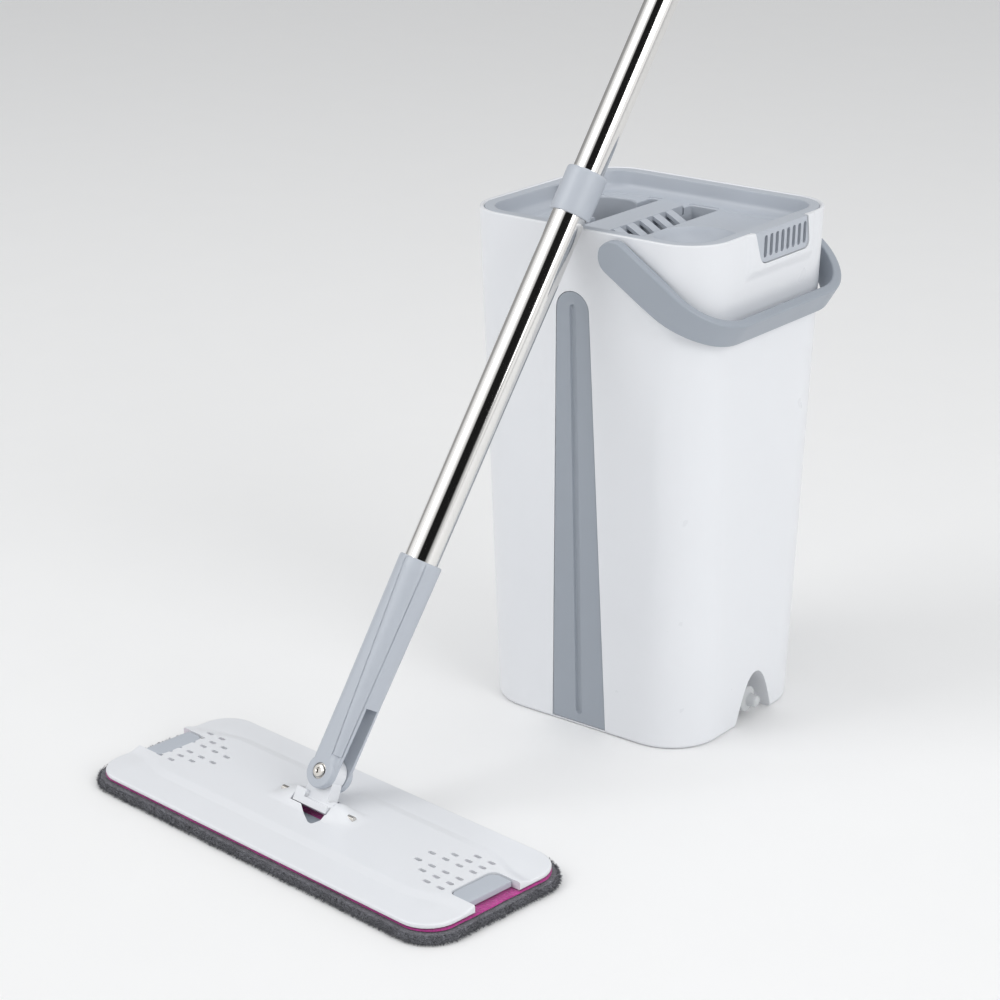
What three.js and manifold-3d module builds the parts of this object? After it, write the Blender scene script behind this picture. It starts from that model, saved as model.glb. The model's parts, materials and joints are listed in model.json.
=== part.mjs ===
// A flat mop leaning on its two-chamber squeeze bucket.
// Millimetres, +Z up. The origin is the middle of the bucket's base, +X points to the
// narrow side with the drain, -Y to the wide side that the mop leans on.
import * as THREE from "three";
import { mergeVertices } from "three/addons/utils/BufferGeometryUtils.js";
import Module from "manifold-3d";

const wasm = await Module();
wasm.setup();

// ---------------------------------------------------------------- driving sizes
const GAP = 0.3; // between pieces that are fixed to each other
const PLAY = 0.6; // between pieces that move on each other

const BUCKET = {
  height: 370,
  top: { width: 201.7, depth: 174.9, corner: 32.9 },
  base: { width: 183.5, depth: 160.1, corner: 39.3 },
  wall: 3,
  floor: 4,
};
const STRIP = {
  topWidth: 27, baseWidth: 46, topX: -4.8, baseX: -0.1, top: 325, foot: 3, thickness: 1.2, setback: 0.1,
};
const GROOVE = { width: 5, depth: 0.6, margin: 10 };
const TRAY = { sink: 14.5, rim: 8, floor: 2.5, skirt: 36, skirtWall: 2.4, draft: 2 };
const SQUEEZE_CHUTE = { x0: -11, x1: 12.5, half: 66, depth: 90, wall: 2 };
const WASH_CHUTE = {
  width: 12, half: 66, bulgeX: -63, bulgeY: 22, bulgeRx: 27, bulgeRy: 33, depth: 40, wall: 2,
};
const BOWL = { x: 43, y: -8, rx: 28, ry: 28, depth: 12 };
const COMB = {
  barWidth: 22.5, barThick: 7, lift: 1.2, farOuterY: 64.5, farInnerY: 55.5,
  slots: 6, pitch: 16, slot: 8, middleY: -10.8, teethTo: 41.2,
};
const TOOTH = { run: 15, drop: 8.3, thick: 3 };
const BLADE = { height: 22, thick: 1.6, top: 20 };
const TONGUE = {
  topY0: -27, topY1: 39, footY0: -17, footY1: 43, drop: 23, slots: 8, pitch: 7.1, slot: 3.2,
};
const TONGUE_SLOTS = { firstY: -12.5, drop: 19.5, length: 15.5, behind: 20.85 };
const NICHE = { width: 48, height: 37, y: 9, depth: 20 };
const DRAIN = { z: 14, y: 8, boreR: 7.5, spoutR: 9.5, nutR: 11.6, nutThick: 6, beyond: 3.2 };
const DRAIN_FLANGE = { r: 9.6, clear: 1.4, thick: 2.1 };
const GASKET = 1.4;
const PLUG = { headR: 9.6, headThick: 7, nippleR: 4.6, nippleLength: 8, stemLength: 14 };
const BAIL_REST = THREE.MathUtils.degToRad(32); // the bail hangs this far below level
const BAIL = { pivotX: 34, pivotDown: 14.5, clear: 4.65, thick: 7, armWidth: 24.4, barWidth: 19, bend: 44 };
BAIL.reach = (BUCKET.top.width / 2 - BAIL.pivotX + BAIL.clear) / Math.cos(BAIL_REST);
const BAIL_STUD = { r: 4, side: 1.2 };

const HEAD = { x: -40.5, y: -314.8, yaw: THREE.MathUtils.degToRad(-6.22) };
const PLATE = { length: 329, width: 124, corner: 23, thick: 5.6, edge: 3.2, stepHalf: 33, slope: 7 };
const PAD = {
  length: PLATE.length + 12, width: PLATE.width + 9, corner: 27, pile: 6.4, backing: 1.5, border: 4,
};
const HINGE = { x: -4.5, y: 2.5, lift: 7.9, rise: 21 };
const AXLE = { r: 2, length: 70 };
const HUB = { r: 5.4, half: 17 };
const BOSS = { r: 6.6, inner: 18.2, length: 26 };
const CLIP = {
  inner: PLATE.length / 2 - 23, length: 16.5, half: 19.5, y: -1, corner: 6, under: 0.4, height: 4.6,
};
const PERF = { column: CLIP.inner - 3.5, pitchX: 12.3, rowGap: 6.1, pitchY: 8.35, length: 6.2, width: 2.9 };
const PERF_COLUMNS = [3, 3, 2, 1]; // rows on each side of the middle, from the outer column in
const CLIP_PIN = { r: 0.8, x: 2.5, up: 3.4, beyond: 3 };
const HOOK = { length: 120, width: 100, thick: 0.5, fromEnd: 12 };
const RETAINER = { length: 62, width: 46, thick: 1.1, screwR: 1.8, screwX: 26, screwY: 14, screwUp: 4.2 };
const BAR_SWEEP = { r: 9.2, half: 16.8 }; // what the yoke's bar sweeps as it tilts

const FORK = { endR: 11.5, width: 23, depth: 22, slot: 10.8, slotTop: 50 };

const INLAY = { x0: 1.5, x1: 8.5, from: 20, to: 122, depth: 0.9 };
const SCREW = { r: 2.6, headR: 4.7, headThick: 1.6, recessR: 5.6, recess: 1.1, nutR: 4.6, nutThick: 3 };
const LOWER_TUBE = { r: 12, wall: 0.8, to: 420 };
const SOCKET = {
  top: 154, width: 2 * (LOWER_TUBE.r + 3), depth: 2 * (LOWER_TUBE.r + 2.5), corner: 13.4, boreFrom: 64, swell: 3.5,
};
const UPPER_TUBE = {
  r: LOWER_TUBE.r - LOWER_TUBE.wall - GAP, wall: 0.9, from: LOWER_TUBE.to - 148, to: 1110,
};
const COLLAR = { r: LOWER_TUBE.r + 2.2, from: LOWER_TUBE.to - 15.5, to: LOWER_TUBE.to + 16, lip: 3 };
const BUSH = { thick: 2.2, length: 9 };
const GUIDE = { length: 14, stem: 10 };
const GRIP = { r: UPPER_TUBE.r + 4.3, from: UPPER_TUBE.to - 142, length: 130, waist: 1.3 };
const CAP = { length: 34, eyeR: 6.5, thick: 10 };
const LEAN = { x: -2.3, gap: 0.5 }; // where the pole rests on the bucket's near edge

// ---------------------------------------------------------------- worked out from them
const shellSlopeX = (BUCKET.top.width - BUCKET.base.width) / 2 / BUCKET.height;
const shellSlopeY = (BUCKET.top.depth - BUCKET.base.depth) / 2 / BUCKET.height;
const tilt = (slope) => Math.atan(slope);
const TRAY_Z = BUCKET.height - TRAY.sink;
const RIM_Z = BUCKET.height - GAP;
const BACKING_Z = PAD.pile + GAP;
const PLATE_Z = BACKING_Z + PAD.backing + 2 * GAP;
const PLATE_TOP = PLATE_Z + PLATE.thick;
const HINGE_Z = PLATE_Z + HINGE.lift - GAP;
const BAIL_Z = BUCKET.height - BAIL.pivotDown;

// ---------------------------------------------------------------- solids
// A three.js geometry as a closed solid with its faces turned out.
function solid(geometry, matrix) {
  const bare = geometry.clone();
  bare.deleteAttribute("normal");
  bare.deleteAttribute("uv");
  if (matrix) bare.applyMatrix4(matrix);
  const merged = mergeVertices(bare, 1e-4);
  const vertProperties = new Float32Array(merged.attributes.position.array);
  const corners = Array.from(merged.index.array);
  const build = (list) =>
    new wasm.Manifold(new wasm.Mesh({ numProp: 3, vertProperties, triVerts: new Uint32Array(list) }));
  const made = build(corners);
  if (made.volume() > 0) return made;
  const turned = [];
  for (let i = 0; i < corners.length; i += 3) turned.push(corners[i], corners[i + 2], corners[i + 1]);
  return build(turned);
}

const join = (...list) => list.reduce((a, b) => a.add(b));
const cut = (body, ...tools) => tools.reduce((a, b) => a.subtract(b), body);

function meshOf(name, body, finish) {
  const data = body.getMesh();
  const count = data.numVert;
  const positions = new Float32Array(count * 3);
  for (let i = 0; i < count; i++) {
    positions.set(data.vertProperties.subarray(i * data.numProp, i * data.numProp + 3), i * 3);
  }
  const geometry = new THREE.BufferGeometry();
  geometry.setAttribute("position", new THREE.BufferAttribute(positions, 3));
  geometry.setIndex(new THREE.BufferAttribute(new Uint32Array(data.triVerts), 1));
  geometry.computeVertexNormals();
  const mesh = new THREE.Mesh(geometry, new THREE.MeshStandardMaterial(finish));
  mesh.name = name;
  return mesh;
}

// Corner points of a rectangle with round corners, centred on the origin.
function roundedPoints(width, depth, corner, steps = 7) {
  const points = [];
  const centres = [
    [1, 1, 0],
    [-1, 1, 1],
    [-1, -1, 2],
    [1, -1, 3],
  ];
  for (const [sx, sy, quarter] of centres) {
    for (let i = 0; i <= steps; i++) {
      const angle = ((quarter + i / steps) * Math.PI) / 2;
      points.push([
        sx * (width / 2 - corner) + corner * Math.cos(angle),
        sy * (depth / 2 - corner) + corner * Math.sin(angle),
      ]);
    }
  }
  return points;
}

// A closed skin through sections of equally many points; each section is {z, points}.
function loft(sections) {
  const count = sections[0].points.length;
  const positions = [];
  const index = [];
  for (const { z, points } of sections) for (const [x, y] of points) positions.push(x, y, z);
  for (let s = 0; s + 1 < sections.length; s++) {
    for (let i = 0; i < count; i++) {
      const a = s * count + i;
      const b = s * count + ((i + 1) % count);
      index.push(a, b, b + count, a, b + count, a + count);
    }
  }
  const last = (sections.length - 1) * count;
  for (let i = 1; i + 1 < count; i++) {
    index.push(0, i + 1, i);
    index.push(last, last + i, last + i + 1);
  }
  const geometry = new THREE.BufferGeometry();
  geometry.setAttribute("position", new THREE.Float32BufferAttribute(positions, 3));
  geometry.setIndex(index);
  return solid(geometry);
}

function prism(points, z0, z1, matrix) {
  const shape = new THREE.Shape(points.map(([x, y]) => new THREE.Vector2(x, y)));
  const geometry = new THREE.ExtrudeGeometry(shape, { depth: z1 - z0, bevelEnabled: false });
  geometry.translate(0, 0, z0);
  return solid(geometry, matrix);
}

function box(x0, x1, y0, y1, z0, z1) {
  const geometry = new THREE.BoxGeometry(x1 - x0, y1 - y0, z1 - z0);
  geometry.translate((x0 + x1) / 2, (y0 + y1) / 2, (z0 + z1) / 2);
  return solid(geometry);
}

// A round solid about the Z axis from a list of [radius, height] points.
function turned(profile, sides = 32) {
  const points = profile.map(([r, z]) => new THREE.Vector2(r, z));
  const geometry = new THREE.LatheGeometry(points, sides);
  return solid(geometry, new THREE.Matrix4().makeRotationX(Math.PI / 2));
}

const rod = (r, z0, z1, sides = 32) => turned([[0, z0], [r, z0], [r, z1], [0, z1]], sides);

function ring(outer, inner, z0, z1, sides = 32) {
  return turned([[inner, z0], [outer, z0], [outer, z1], [inner, z1], [inner, z0]], sides);
}

const moved = (body, x, y, z) => body.translate([x, y, z]);
const alongX = (body) => body.rotate([0, 90, 0]);
const alongY = (body) => body.rotate([-90, 0, 0]);

function ellipsePoints(cx, cy, rx, ry, sides = 32) {
  return Array.from({ length: sides }, (_, i) => {
    const angle = (2 * Math.PI * i) / sides;
    return [cx + rx * Math.cos(angle), cy + ry * Math.sin(angle)];
  });
}

// ---------------------------------------------------------------- bucket
// The bucket's outline at a height, drawn in by an inset.
function bucketSection(z, inset = 0) {
  const share = z / BUCKET.height;
  const mix = (key) => BUCKET.base[key] + (BUCKET.top[key] - BUCKET.base[key]) * share;
  const points = roundedPoints(mix("width") - 2 * inset, mix("depth") - 2 * inset, mix("corner") - inset);
  return { z, points };
}

const bucketLoft = (z0, z1, inset = 0) => loft([bucketSection(z0, inset), bucketSection(z1, inset)]);

// Frames on the sloping outer faces: first axis across, second up the face, third outward.
function faceFrame(side) {
  const slope = side === "narrow" ? shellSlopeX : shellSlopeY;
  const [s, c] = [Math.sin(tilt(slope)), Math.cos(tilt(slope))];
  const V = (x, y, z) => new THREE.Vector3(x, y, z);
  const frames = {
    front: [V(1, 0, 0), V(0, -s, c), V(0, -c, -s), V(0, -BUCKET.base.depth / 2, 0)],
    back: [V(-1, 0, 0), V(0, s, c), V(0, c, -s), V(0, BUCKET.base.depth / 2, 0)],
    narrow: [V(0, 1, 0), V(s, 0, c), V(c, 0, -s), V(BUCKET.base.width / 2, 0, 0)],
  };
  const [across, up, out, origin] = frames[side];
  return new THREE.Matrix4().makeBasis(across, up, out).setPosition(origin);
}

// The leaning band of the side strip, round at its top, grown by a margin.
function stripOutline(grow = 0) {
  const headR = STRIP.topWidth / 2 + grow;
  const headZ = STRIP.top - STRIP.topWidth / 2;
  const points = [
    [STRIP.baseX - STRIP.baseWidth / 2 - grow, STRIP.foot - grow],
    [STRIP.baseX + STRIP.baseWidth / 2 + grow, STRIP.foot - grow],
  ];
  for (let i = 0; i <= 12; i++) {
    const angle = (Math.PI * i) / 12;
    points.push([STRIP.topX + headR * Math.cos(angle), headZ + headR * Math.sin(angle)]);
  }
  return points;
}

function sideStrip(side) {
  const face = faceFrame(side);
  const panel = prism(stripOutline(), -STRIP.thickness - STRIP.setback, -STRIP.setback, face);
  const groove = [
    [STRIP.baseX - GROOVE.width / 2, STRIP.foot + GROOVE.margin],
    [STRIP.baseX + GROOVE.width / 2, STRIP.foot + GROOVE.margin],
    [STRIP.topX + GROOVE.width / 2, STRIP.top - GROOVE.margin],
    [STRIP.topX - GROOVE.width / 2, STRIP.top - GROOVE.margin],
  ];
  return cut(panel, prism(groove, -STRIP.setback - GROOVE.depth, 1, face));
}

// The arch of the drain niche, seen along X, grown by a margin.
function nicheOutline(grow = 0) {
  const half = NICHE.width / 2 + grow;
  const arch = new THREE.CubicBezierCurve(
    new THREE.Vector2(half, 0),
    new THREE.Vector2(half * 0.72, NICHE.height * 0.45),
    new THREE.Vector2(half * 0.5, NICHE.height + grow),
    new THREE.Vector2(0, NICHE.height + grow),
  );
  const right = arch.getPoints(10).map((p) => [NICHE.y + p.x, p.y]);
  const left = right.slice(0, -1).reverse().map(([y, z]) => [2 * NICHE.y - y, z]);
  return [[NICHE.y - half, -5], [NICHE.y + half, -5], ...right, ...left];
}

const NICHE_BACK = BUCKET.base.width / 2 - NICHE.depth;

// Turns a drawing in (Y, Z) into a solid that runs along X.
function prismAlongX(points, x0, x1) {
  const frame = new THREE.Matrix4().makeBasis(
    new THREE.Vector3(0, 1, 0),
    new THREE.Vector3(0, 0, 1),
    new THREE.Vector3(1, 0, 0),
  );
  return prism(points, x0, x1, frame);
}

function tongueOutline(grow = 0) {
  const foot = BUCKET.height - TONGUE.drop - grow;
  return [
    [TONGUE.footY0 - grow, foot],
    [TONGUE.footY1 + grow, foot],
    [TONGUE.topY1 + grow, BUCKET.height + 1],
    [TONGUE.topY0 - grow, BUCKET.height + 1],
  ];
}

function bucketShell() {
  const tank = bucketLoft(0, BUCKET.height);
  const nicheWalls = prismAlongX(nicheOutline(BUCKET.wall), NICHE_BACK - BUCKET.wall, BUCKET.top.width);
  const hollow = cut(bucketLoft(BUCKET.floor, BUCKET.height + 1, BUCKET.wall), nicheWalls);
  const channel = (side) => prism(stripOutline(GAP), -STRIP.thickness - STRIP.setback - GAP, 2, faceFrame(side));
  const studHoles = alongY(rod(BAIL_STUD.r + GAP, -BUCKET.top.depth, BUCKET.top.depth));
  return cut(
    tank,
    hollow,
    prismAlongX(nicheOutline(), NICHE_BACK, BUCKET.top.width),
    prismAlongX(tongueOutline(GAP), 0, BUCKET.top.width),
    channel("front"),
    channel("back"),
    moved(studHoles, BAIL.pivotX, 0, BAIL_Z),
    moved(alongX(rod(DRAIN.spoutR + GAP, 0, BUCKET.base.width)), 0, DRAIN.y, DRAIN.z),
  );
}

// ---------------------------------------------------------------- tray in the top
const WASH_X1 = SQUEEZE_CHUTE.x0 - COMB.barWidth - 0.5;
const WASH_X0 = WASH_X1 - WASH_CHUTE.width;

// The wash opening: a slot beside the bar that runs into a round bulge for the joint.
function washOpening(grow, z0, z1) {
  const { half, bulgeX, bulgeY, bulgeRx, bulgeRy } = WASH_CHUTE;
  const slot = box(WASH_X0 - grow, WASH_X1 + grow, -half - grow, half + grow, z0, z1);
  const bulge = prism(ellipsePoints(bulgeX, bulgeY, bulgeRx + grow, bulgeRy + grow), z0, z1);
  return join(slot, bulge);
}

function squeezeOpening(grow, z0, z1) {
  const { x0, x1, half } = SQUEEZE_CHUTE;
  return box(x0 - grow, x1 + grow, -half - grow, half + grow, z0, z1);
}

// Room for the comb, so that its bar sits in the land between the two openings.
function combSeat() {
  const x0 = SQUEEZE_CHUTE.x0 - COMB.barWidth - GAP;
  return box(x0, SQUEEZE_CHUTE.x0 + 1, -SQUEEZE_CHUTE.half, COMB.farOuterY + GAP, COMB_Z0 - GAP, RIM_Z + 1);
}

const COMB_Z1 = TRAY_Z + COMB.lift;
const COMB_Z0 = COMB_Z1 - COMB.barThick;

function tongueSlots() {
  const slots = [];
  for (let i = 0; i < TONGUE.slots; i++) {
    const y = TONGUE_SLOTS.firstY + i * TONGUE.pitch;
    const foot = BUCKET.height - TONGUE_SLOTS.drop;
    const inner = BUCKET.top.width / 2 - TONGUE_SLOTS.behind;
    const half = TONGUE.slot / 2;
    slots.push(box(inner, BUCKET.top.width, y - half, y + half, foot, foot + TONGUE_SLOTS.length));
  }
  return slots;
}

// The dish for the rim: wider at the top by the draft, with its own corner radius.
function trayDish() {
  const { width, depth, corner } = BUCKET.top;
  const section = (z, inset) => ({
    z,
    points: roundedPoints(width - 2 * inset, depth - 2 * inset, Math.max(corner - inset, 8)),
  });
  const inset = BUCKET.wall + TRAY.rim;
  return loft([section(TRAY_Z, inset + TRAY.draft), section(RIM_Z + 1, inset)]);
}

function topInsert() {
  const skirtFoot = BUCKET.height - TRAY.skirt;
  const body = bucketLoft(skirtFoot, RIM_Z, BUCKET.wall + GAP);
  const under = bucketLoft(skirtFoot - 1, TRAY_Z - TRAY.floor, BUCKET.wall + GAP + TRAY.skirtWall);
  const tray = cut(body, under, trayDish());
  const chuteFoot = BUCKET.height - SQUEEZE_CHUTE.depth;
  const washFoot = BUCKET.height - WASH_CHUTE.depth;
  const squeezeWalls = squeezeOpening(SQUEEZE_CHUTE.wall, chuteFoot, TRAY_Z - GAP);
  const washWalls = washOpening(WASH_CHUTE.wall, washFoot, TRAY_Z - GAP);
  const land = box(WASH_X1, SQUEEZE_CHUTE.x0, -WASH_CHUTE.half, WASH_CHUTE.half, COMB_Z0 - 6, TRAY_Z - GAP);
  const bowl = prism(ellipsePoints(BOWL.x, BOWL.y, BOWL.rx, BOWL.ry), TRAY_Z - BOWL.depth, RIM_Z);
  const bowlWall = prism(
    ellipsePoints(BOWL.x, BOWL.y, BOWL.rx + 2, BOWL.ry + 2),
    TRAY_Z - BOWL.depth - 2,
    TRAY_Z - GAP,
  );
  const tongue = tongueBody();
  return cut(
    join(tray, squeezeWalls, washWalls, land, bowlWall, tongue),
    squeezeOpening(0, chuteFoot - 1, RIM_Z + 1),
    washOpening(0, washFoot - 1, RIM_Z + 1),
    bowl,
    combSeat(),
    ...tongueSlots(),
  );
}

// The slotted pouring tongue fills the notch in the wall, flush with its outer face.
function tongueBody() {
  const outline = prismAlongX(tongueOutline(), BUCKET.top.width / 2 - 12, BUCKET.top.width / 2);
  const flush = bucketLoft(BUCKET.height - TRAY.skirt, RIM_Z, 0);
  return outline.intersect(flush);
}

// A bar with teeth that slope down over the squeeze chute.
function wringerComb() {
  const x1 = SQUEEZE_CHUTE.x0;
  const x0 = x1 - COMB.barWidth;
  const nearY = -SQUEEZE_CHUTE.half + GAP;
  const barPoints = [
    [x0, nearY],
    [x1, nearY],
    [x1, COMB.farInnerY],
    [x0, COMB.farOuterY],
  ];
  const bar = prism(barPoints, COMB_Z0, COMB_Z1);
  const rampProfile = [
    [x1 - 1, COMB_Z1],
    [x1, COMB_Z1],
    [x1 + TOOTH.run, COMB_Z1 - TOOTH.drop],
    [x1 + TOOTH.run, COMB_Z1 - TOOTH.drop - TOOTH.thick],
    [x1 - 1, COMB_Z0],
  ];
  const frame = new THREE.Matrix4().makeBasis(
    new THREE.Vector3(1, 0, 0),
    new THREE.Vector3(0, 0, 1),
    new THREE.Vector3(0, -1, 0),
  );
  const ramp = prism(rampProfile, -COMB.teethTo, -nearY - GAP, frame);
  const gaps = [];
  for (let i = 0; i < COMB.slots; i++) {
    const y = COMB.middleY + (i - (COMB.slots - 1) / 2) * COMB.pitch;
    gaps.push(box(x1, x1 + TOOTH.run + 1, y - COMB.slot / 2, y + COMB.slot / 2, COMB_Z0 - 9, COMB_Z1 + 1));
  }
  return cut(join(bar, ramp), ...gaps);
}

function squeezeBlade() {
  const x1 = SQUEEZE_CHUTE.x1 - GAP;
  const z1 = TRAY_Z - BLADE.top;
  const half = SQUEEZE_CHUTE.half - GAP;
  return box(x1 - BLADE.thick, x1, -half, half, z1 - BLADE.height, z1);
}

// ---------------------------------------------------------------- drain
const DRAIN_FACE = NICHE_BACK;

function onDrain(body) {
  return moved(alongX(body), DRAIN_FACE, DRAIN.y, DRAIN.z);
}

function drainSpout() {
  const inside = -BUCKET.wall - GAP;
  const tip = DRAIN.nutThick + DRAIN.beyond;
  const face = inside - DRAIN_FLANGE.clear;
  const tube = rod(DRAIN.spoutR, face - GAP / 3, tip);
  const flange = rod(DRAIN_FLANGE.r, face - DRAIN_FLANGE.thick, face);
  return onDrain(cut(join(tube, flange), rod(DRAIN.boreR, face - DRAIN_FLANGE.thick - 1, tip + 1)));
}

const drainGasket = () => onDrain(ring(DRAIN.nutR, DRAIN.spoutR + GAP, GAP, GAP + GASKET));

function drainNut() {
  const from = 2 * GAP + GASKET;
  return onDrain(ring(DRAIN.nutR, DRAIN.spoutR + GAP, from, from + DRAIN.nutThick - 1, 24));
}

function drainPlug() {
  const seat = DRAIN.nutThick + DRAIN.beyond + GAP;
  const tip = seat + PLUG.headThick + PLUG.nippleLength;
  return onDrain(
    turned([
      [0, seat - PLUG.stemLength],
      [DRAIN.boreR - 0.9, seat - PLUG.stemLength],
      [DRAIN.boreR - GAP, seat - PLUG.stemLength + 4],
      [DRAIN.boreR - GAP, seat],
      [PLUG.headR, seat],
      [PLUG.headR, seat + PLUG.headThick - 1.5],
      [PLUG.headR - 1.5, seat + PLUG.headThick],
      [PLUG.nippleR, seat + PLUG.headThick],
      [PLUG.nippleR, tip - 1],
      [PLUG.nippleR - 1, tip],
      [0, tip],
    ]),
  );
}

// ---------------------------------------------------------------- bail
// The bail is a flat ribbon bent to a U. It is drawn level, reaching along +X from its
// pivot axis, and then swung down to where its bar rests on the narrow side.
const BAIL_HALF = BUCKET.top.depth / 2 + BAIL_STUD.side - 0.2;

function bailRibbon(outerGrow) {
  const half = BAIL_HALF + outerGrow;
  const reach = BAIL.reach + outerGrow;
  const bend = BAIL.bend - BAIL.thick + outerGrow;
  const points = [];
  for (let i = 0; i <= 10; i++) {
    const angle = -Math.PI / 2 + (Math.PI * i) / 20;
    points.push([reach - bend + bend * Math.cos(angle), -half + bend + bend * Math.sin(angle)]);
  }
  const far = points.map(([x, y]) => [x, -y]).reverse();
  return [...points, ...far];
}

function bailBody() {
  const outer = [[-20, -BAIL_HALF - BAIL.thick], ...bailRibbon(BAIL.thick), [-20, BAIL_HALF + BAIL.thick]];
  const inner = [[-21, -BAIL_HALF], ...bailRibbon(0), [-21, BAIL_HALF]];
  const tall = BAIL.armWidth;
  const ribbon = cut(prism(outer, -tall, tall), prism(inner, -tall - 1, tall + 1));
  // Seen from the side, the ribbon has round ends at the pivot and narrows to the bar.
  const side = [];
  const r = BAIL.armWidth / 2;
  for (let i = 0; i <= 12; i++) {
    const angle = Math.PI / 2 + (Math.PI * i) / 12;
    side.push([r * Math.cos(angle), r * Math.sin(angle)]);
  }
  const reach = BAIL.reach + BAIL.thick + 1;
  const straight = BAIL.reach - BAIL.bend - 8;
  side.push([straight, -r], [reach, -BAIL.barWidth / 2], [reach, BAIL.barWidth / 2], [straight, r]);
  const frame = new THREE.Matrix4().makeBasis(
    new THREE.Vector3(1, 0, 0),
    new THREE.Vector3(0, 0, 1),
    new THREE.Vector3(0, -1, 0),
  );
  return ribbon.intersect(prism(side, -BUCKET.top.depth, BUCKET.top.depth, frame));
}

function bailStudHoles(body) {
  const hole = alongY(rod(BAIL_STUD.r + GAP, -4, 4, 24));
  const shift = BAIL_HALF + 1;
  return cut(body, moved(hole, 0, -shift, 0), moved(hole, 0, shift, 0));
}

function bailStud(side) {
  const ends = [BUCKET.top.depth / 2 - BUCKET.wall, BAIL_HALF + 5 - GAP].map((y) => side * y);
  return alongY(rod(BAIL_STUD.r, Math.min(...ends), Math.max(...ends), 24));
}

// ---------------------------------------------------------------- mop head
function padSlab(inset, z0, z1) {
  const section = (z, extra) => ({
    z,
    points: roundedPoints(
      PAD.length - 2 * (inset + extra),
      PAD.width - 2 * (inset + extra),
      PAD.corner - inset - extra,
      8,
    ),
  });
  return loft([section(z0, 0.8), section(z0 + 1, 0), section(z1 - 1, 0), section(z1, 0.6)]);
}

const padPile = () => padSlab(0, 0, PAD.pile);

function padBacking() {
  const section = (z) => ({
    z,
    points: roundedPoints(PAD.length - 2 * PAD.border, PAD.width - 2 * PAD.border, PAD.corner - PAD.border, 8),
  });
  return loft([section(BACKING_Z), section(BACKING_Z + PAD.backing)]);
}

// Which slot sits where: a leaf of columns that shorten towards the hinge.
function perforations() {
  const slots = [];
  for (const side of [-1, 1]) {
    PERF_COLUMNS.forEach((rows, column) => {
      for (let row = 0; row < rows; row++) {
        for (const half of [-1, 1]) {
          const x = HINGE.x + side * (PERF.column - column * PERF.pitchX);
          const y = HINGE.y + half * (PERF.rowGap + row * PERF.pitchY);
          slots.push(
            prism(
              roundedPoints(PERF.length, PERF.width, PERF.width / 2 - 0.05, 2).map(([a, b]) => [a + x, b + y]),
              PLATE_Z - 1,
              PLATE_TOP + 1,
            ),
          );
        }
      }
    });
  }
  return slots;
}

// The upper skin: a flat middle, a short slope along each long side and a lower border.
function plateSlab() {
  const profile = [
    [-PLATE.width / 2, PLATE_Z],
    [PLATE.width / 2, PLATE_Z],
    [PLATE.width / 2, PLATE_Z + PLATE.edge],
    [PLATE.stepHalf + PLATE.slope, PLATE_Z + PLATE.edge + 0.8],
    [PLATE.stepHalf, PLATE_TOP],
    [-PLATE.stepHalf, PLATE_TOP],
    [-PLATE.stepHalf - PLATE.slope, PLATE_Z + PLATE.edge + 0.8],
    [-PLATE.width / 2, PLATE_Z + PLATE.edge],
  ];
  const long = prismAlongX(profile, -PLATE.length / 2, PLATE.length / 2);
  const plan = prism(roundedPoints(PLATE.length, PLATE.width, PLATE.corner, 8), PLATE_Z - 1, PLATE_TOP + 1);
  return long.intersect(plan);
}

function boss(side) {
  const start = side * BOSS.inner;
  const end = side * (BOSS.inner + BOSS.length);
  const half = alongX(
    turned([
      [0, Math.min(start, end)],
      [BOSS.r * (side > 0 ? 1 : 0.5), Math.min(start, end)],
      [BOSS.r, Math.min(start, end) + (side > 0 ? 0 : 8)],
      [BOSS.r, Math.max(start, end) - (side > 0 ? 8 : 0)],
      [BOSS.r * (side > 0 ? 0.5 : 1), Math.max(start, end)],
      [0, Math.max(start, end)],
    ]),
  );
  const above = box(-100, 100, -20, 20, PLATE_Z, HINGE_Z + 20);
  return moved(half, HINGE.x, HINGE.y, HINGE_Z).intersect(above);
}

function clipOutline(grow, outer) {
  const { inner, length, half, corner } = CLIP;
  const points = roundedPoints(length + 2 * grow, 2 * (half + grow), corner).map(([x, y]) => [
    x + inner + length / 2,
    y + CLIP.y,
  ]);
  if (!outer) return points;
  return [
    [inner + length / 2, CLIP.y - half - grow],
    [outer, CLIP.y - half - grow],
    [outer, CLIP.y + half + grow],
    [inner + length / 2, CLIP.y + half + grow],
  ];
}

// The right clip's pin, or the hole for it when grown.
function clipPinRod(grow) {
  const half = CLIP.half + CLIP_PIN.beyond + grow;
  const pin = alongY(rod(CLIP_PIN.r + grow, -half, half, 12));
  return moved(pin, CLIP.inner + CLIP_PIN.x, CLIP.y, PLATE_Z + CLIP_PIN.up);
}

function clipRecess(side) {
  const cutZ0 = PLATE_Z - 1;
  const opening = join(
    prism(clipOutline(PLAY), cutZ0, PLATE_TOP + 1),
    prism(clipOutline(PLAY - 4, PLATE.length), cutZ0, PLATE_TOP + 1),
  );
  const both = join(opening, clipPinRod(GAP));
  return side > 0 ? both : both.mirror([1, 0, 0]);
}

// Both are drawn from the middle of the hinge. The rear one is only a shallow recess.
const FRONT_POCKET = [
  [-21, 6],
  [-20, -1.5],
  [12, -20.5],
  [15.5, -20.5],
  [17, -6],
  [17, 6],
];
const REAR_POCKET = [
  [-14, 24],
  [4, 24],
  [8, 29],
  [0, 41],
  [-8, 41],
  [-14, 36],
];
const REAR_POCKET_DEPTH = 1.4;

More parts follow.
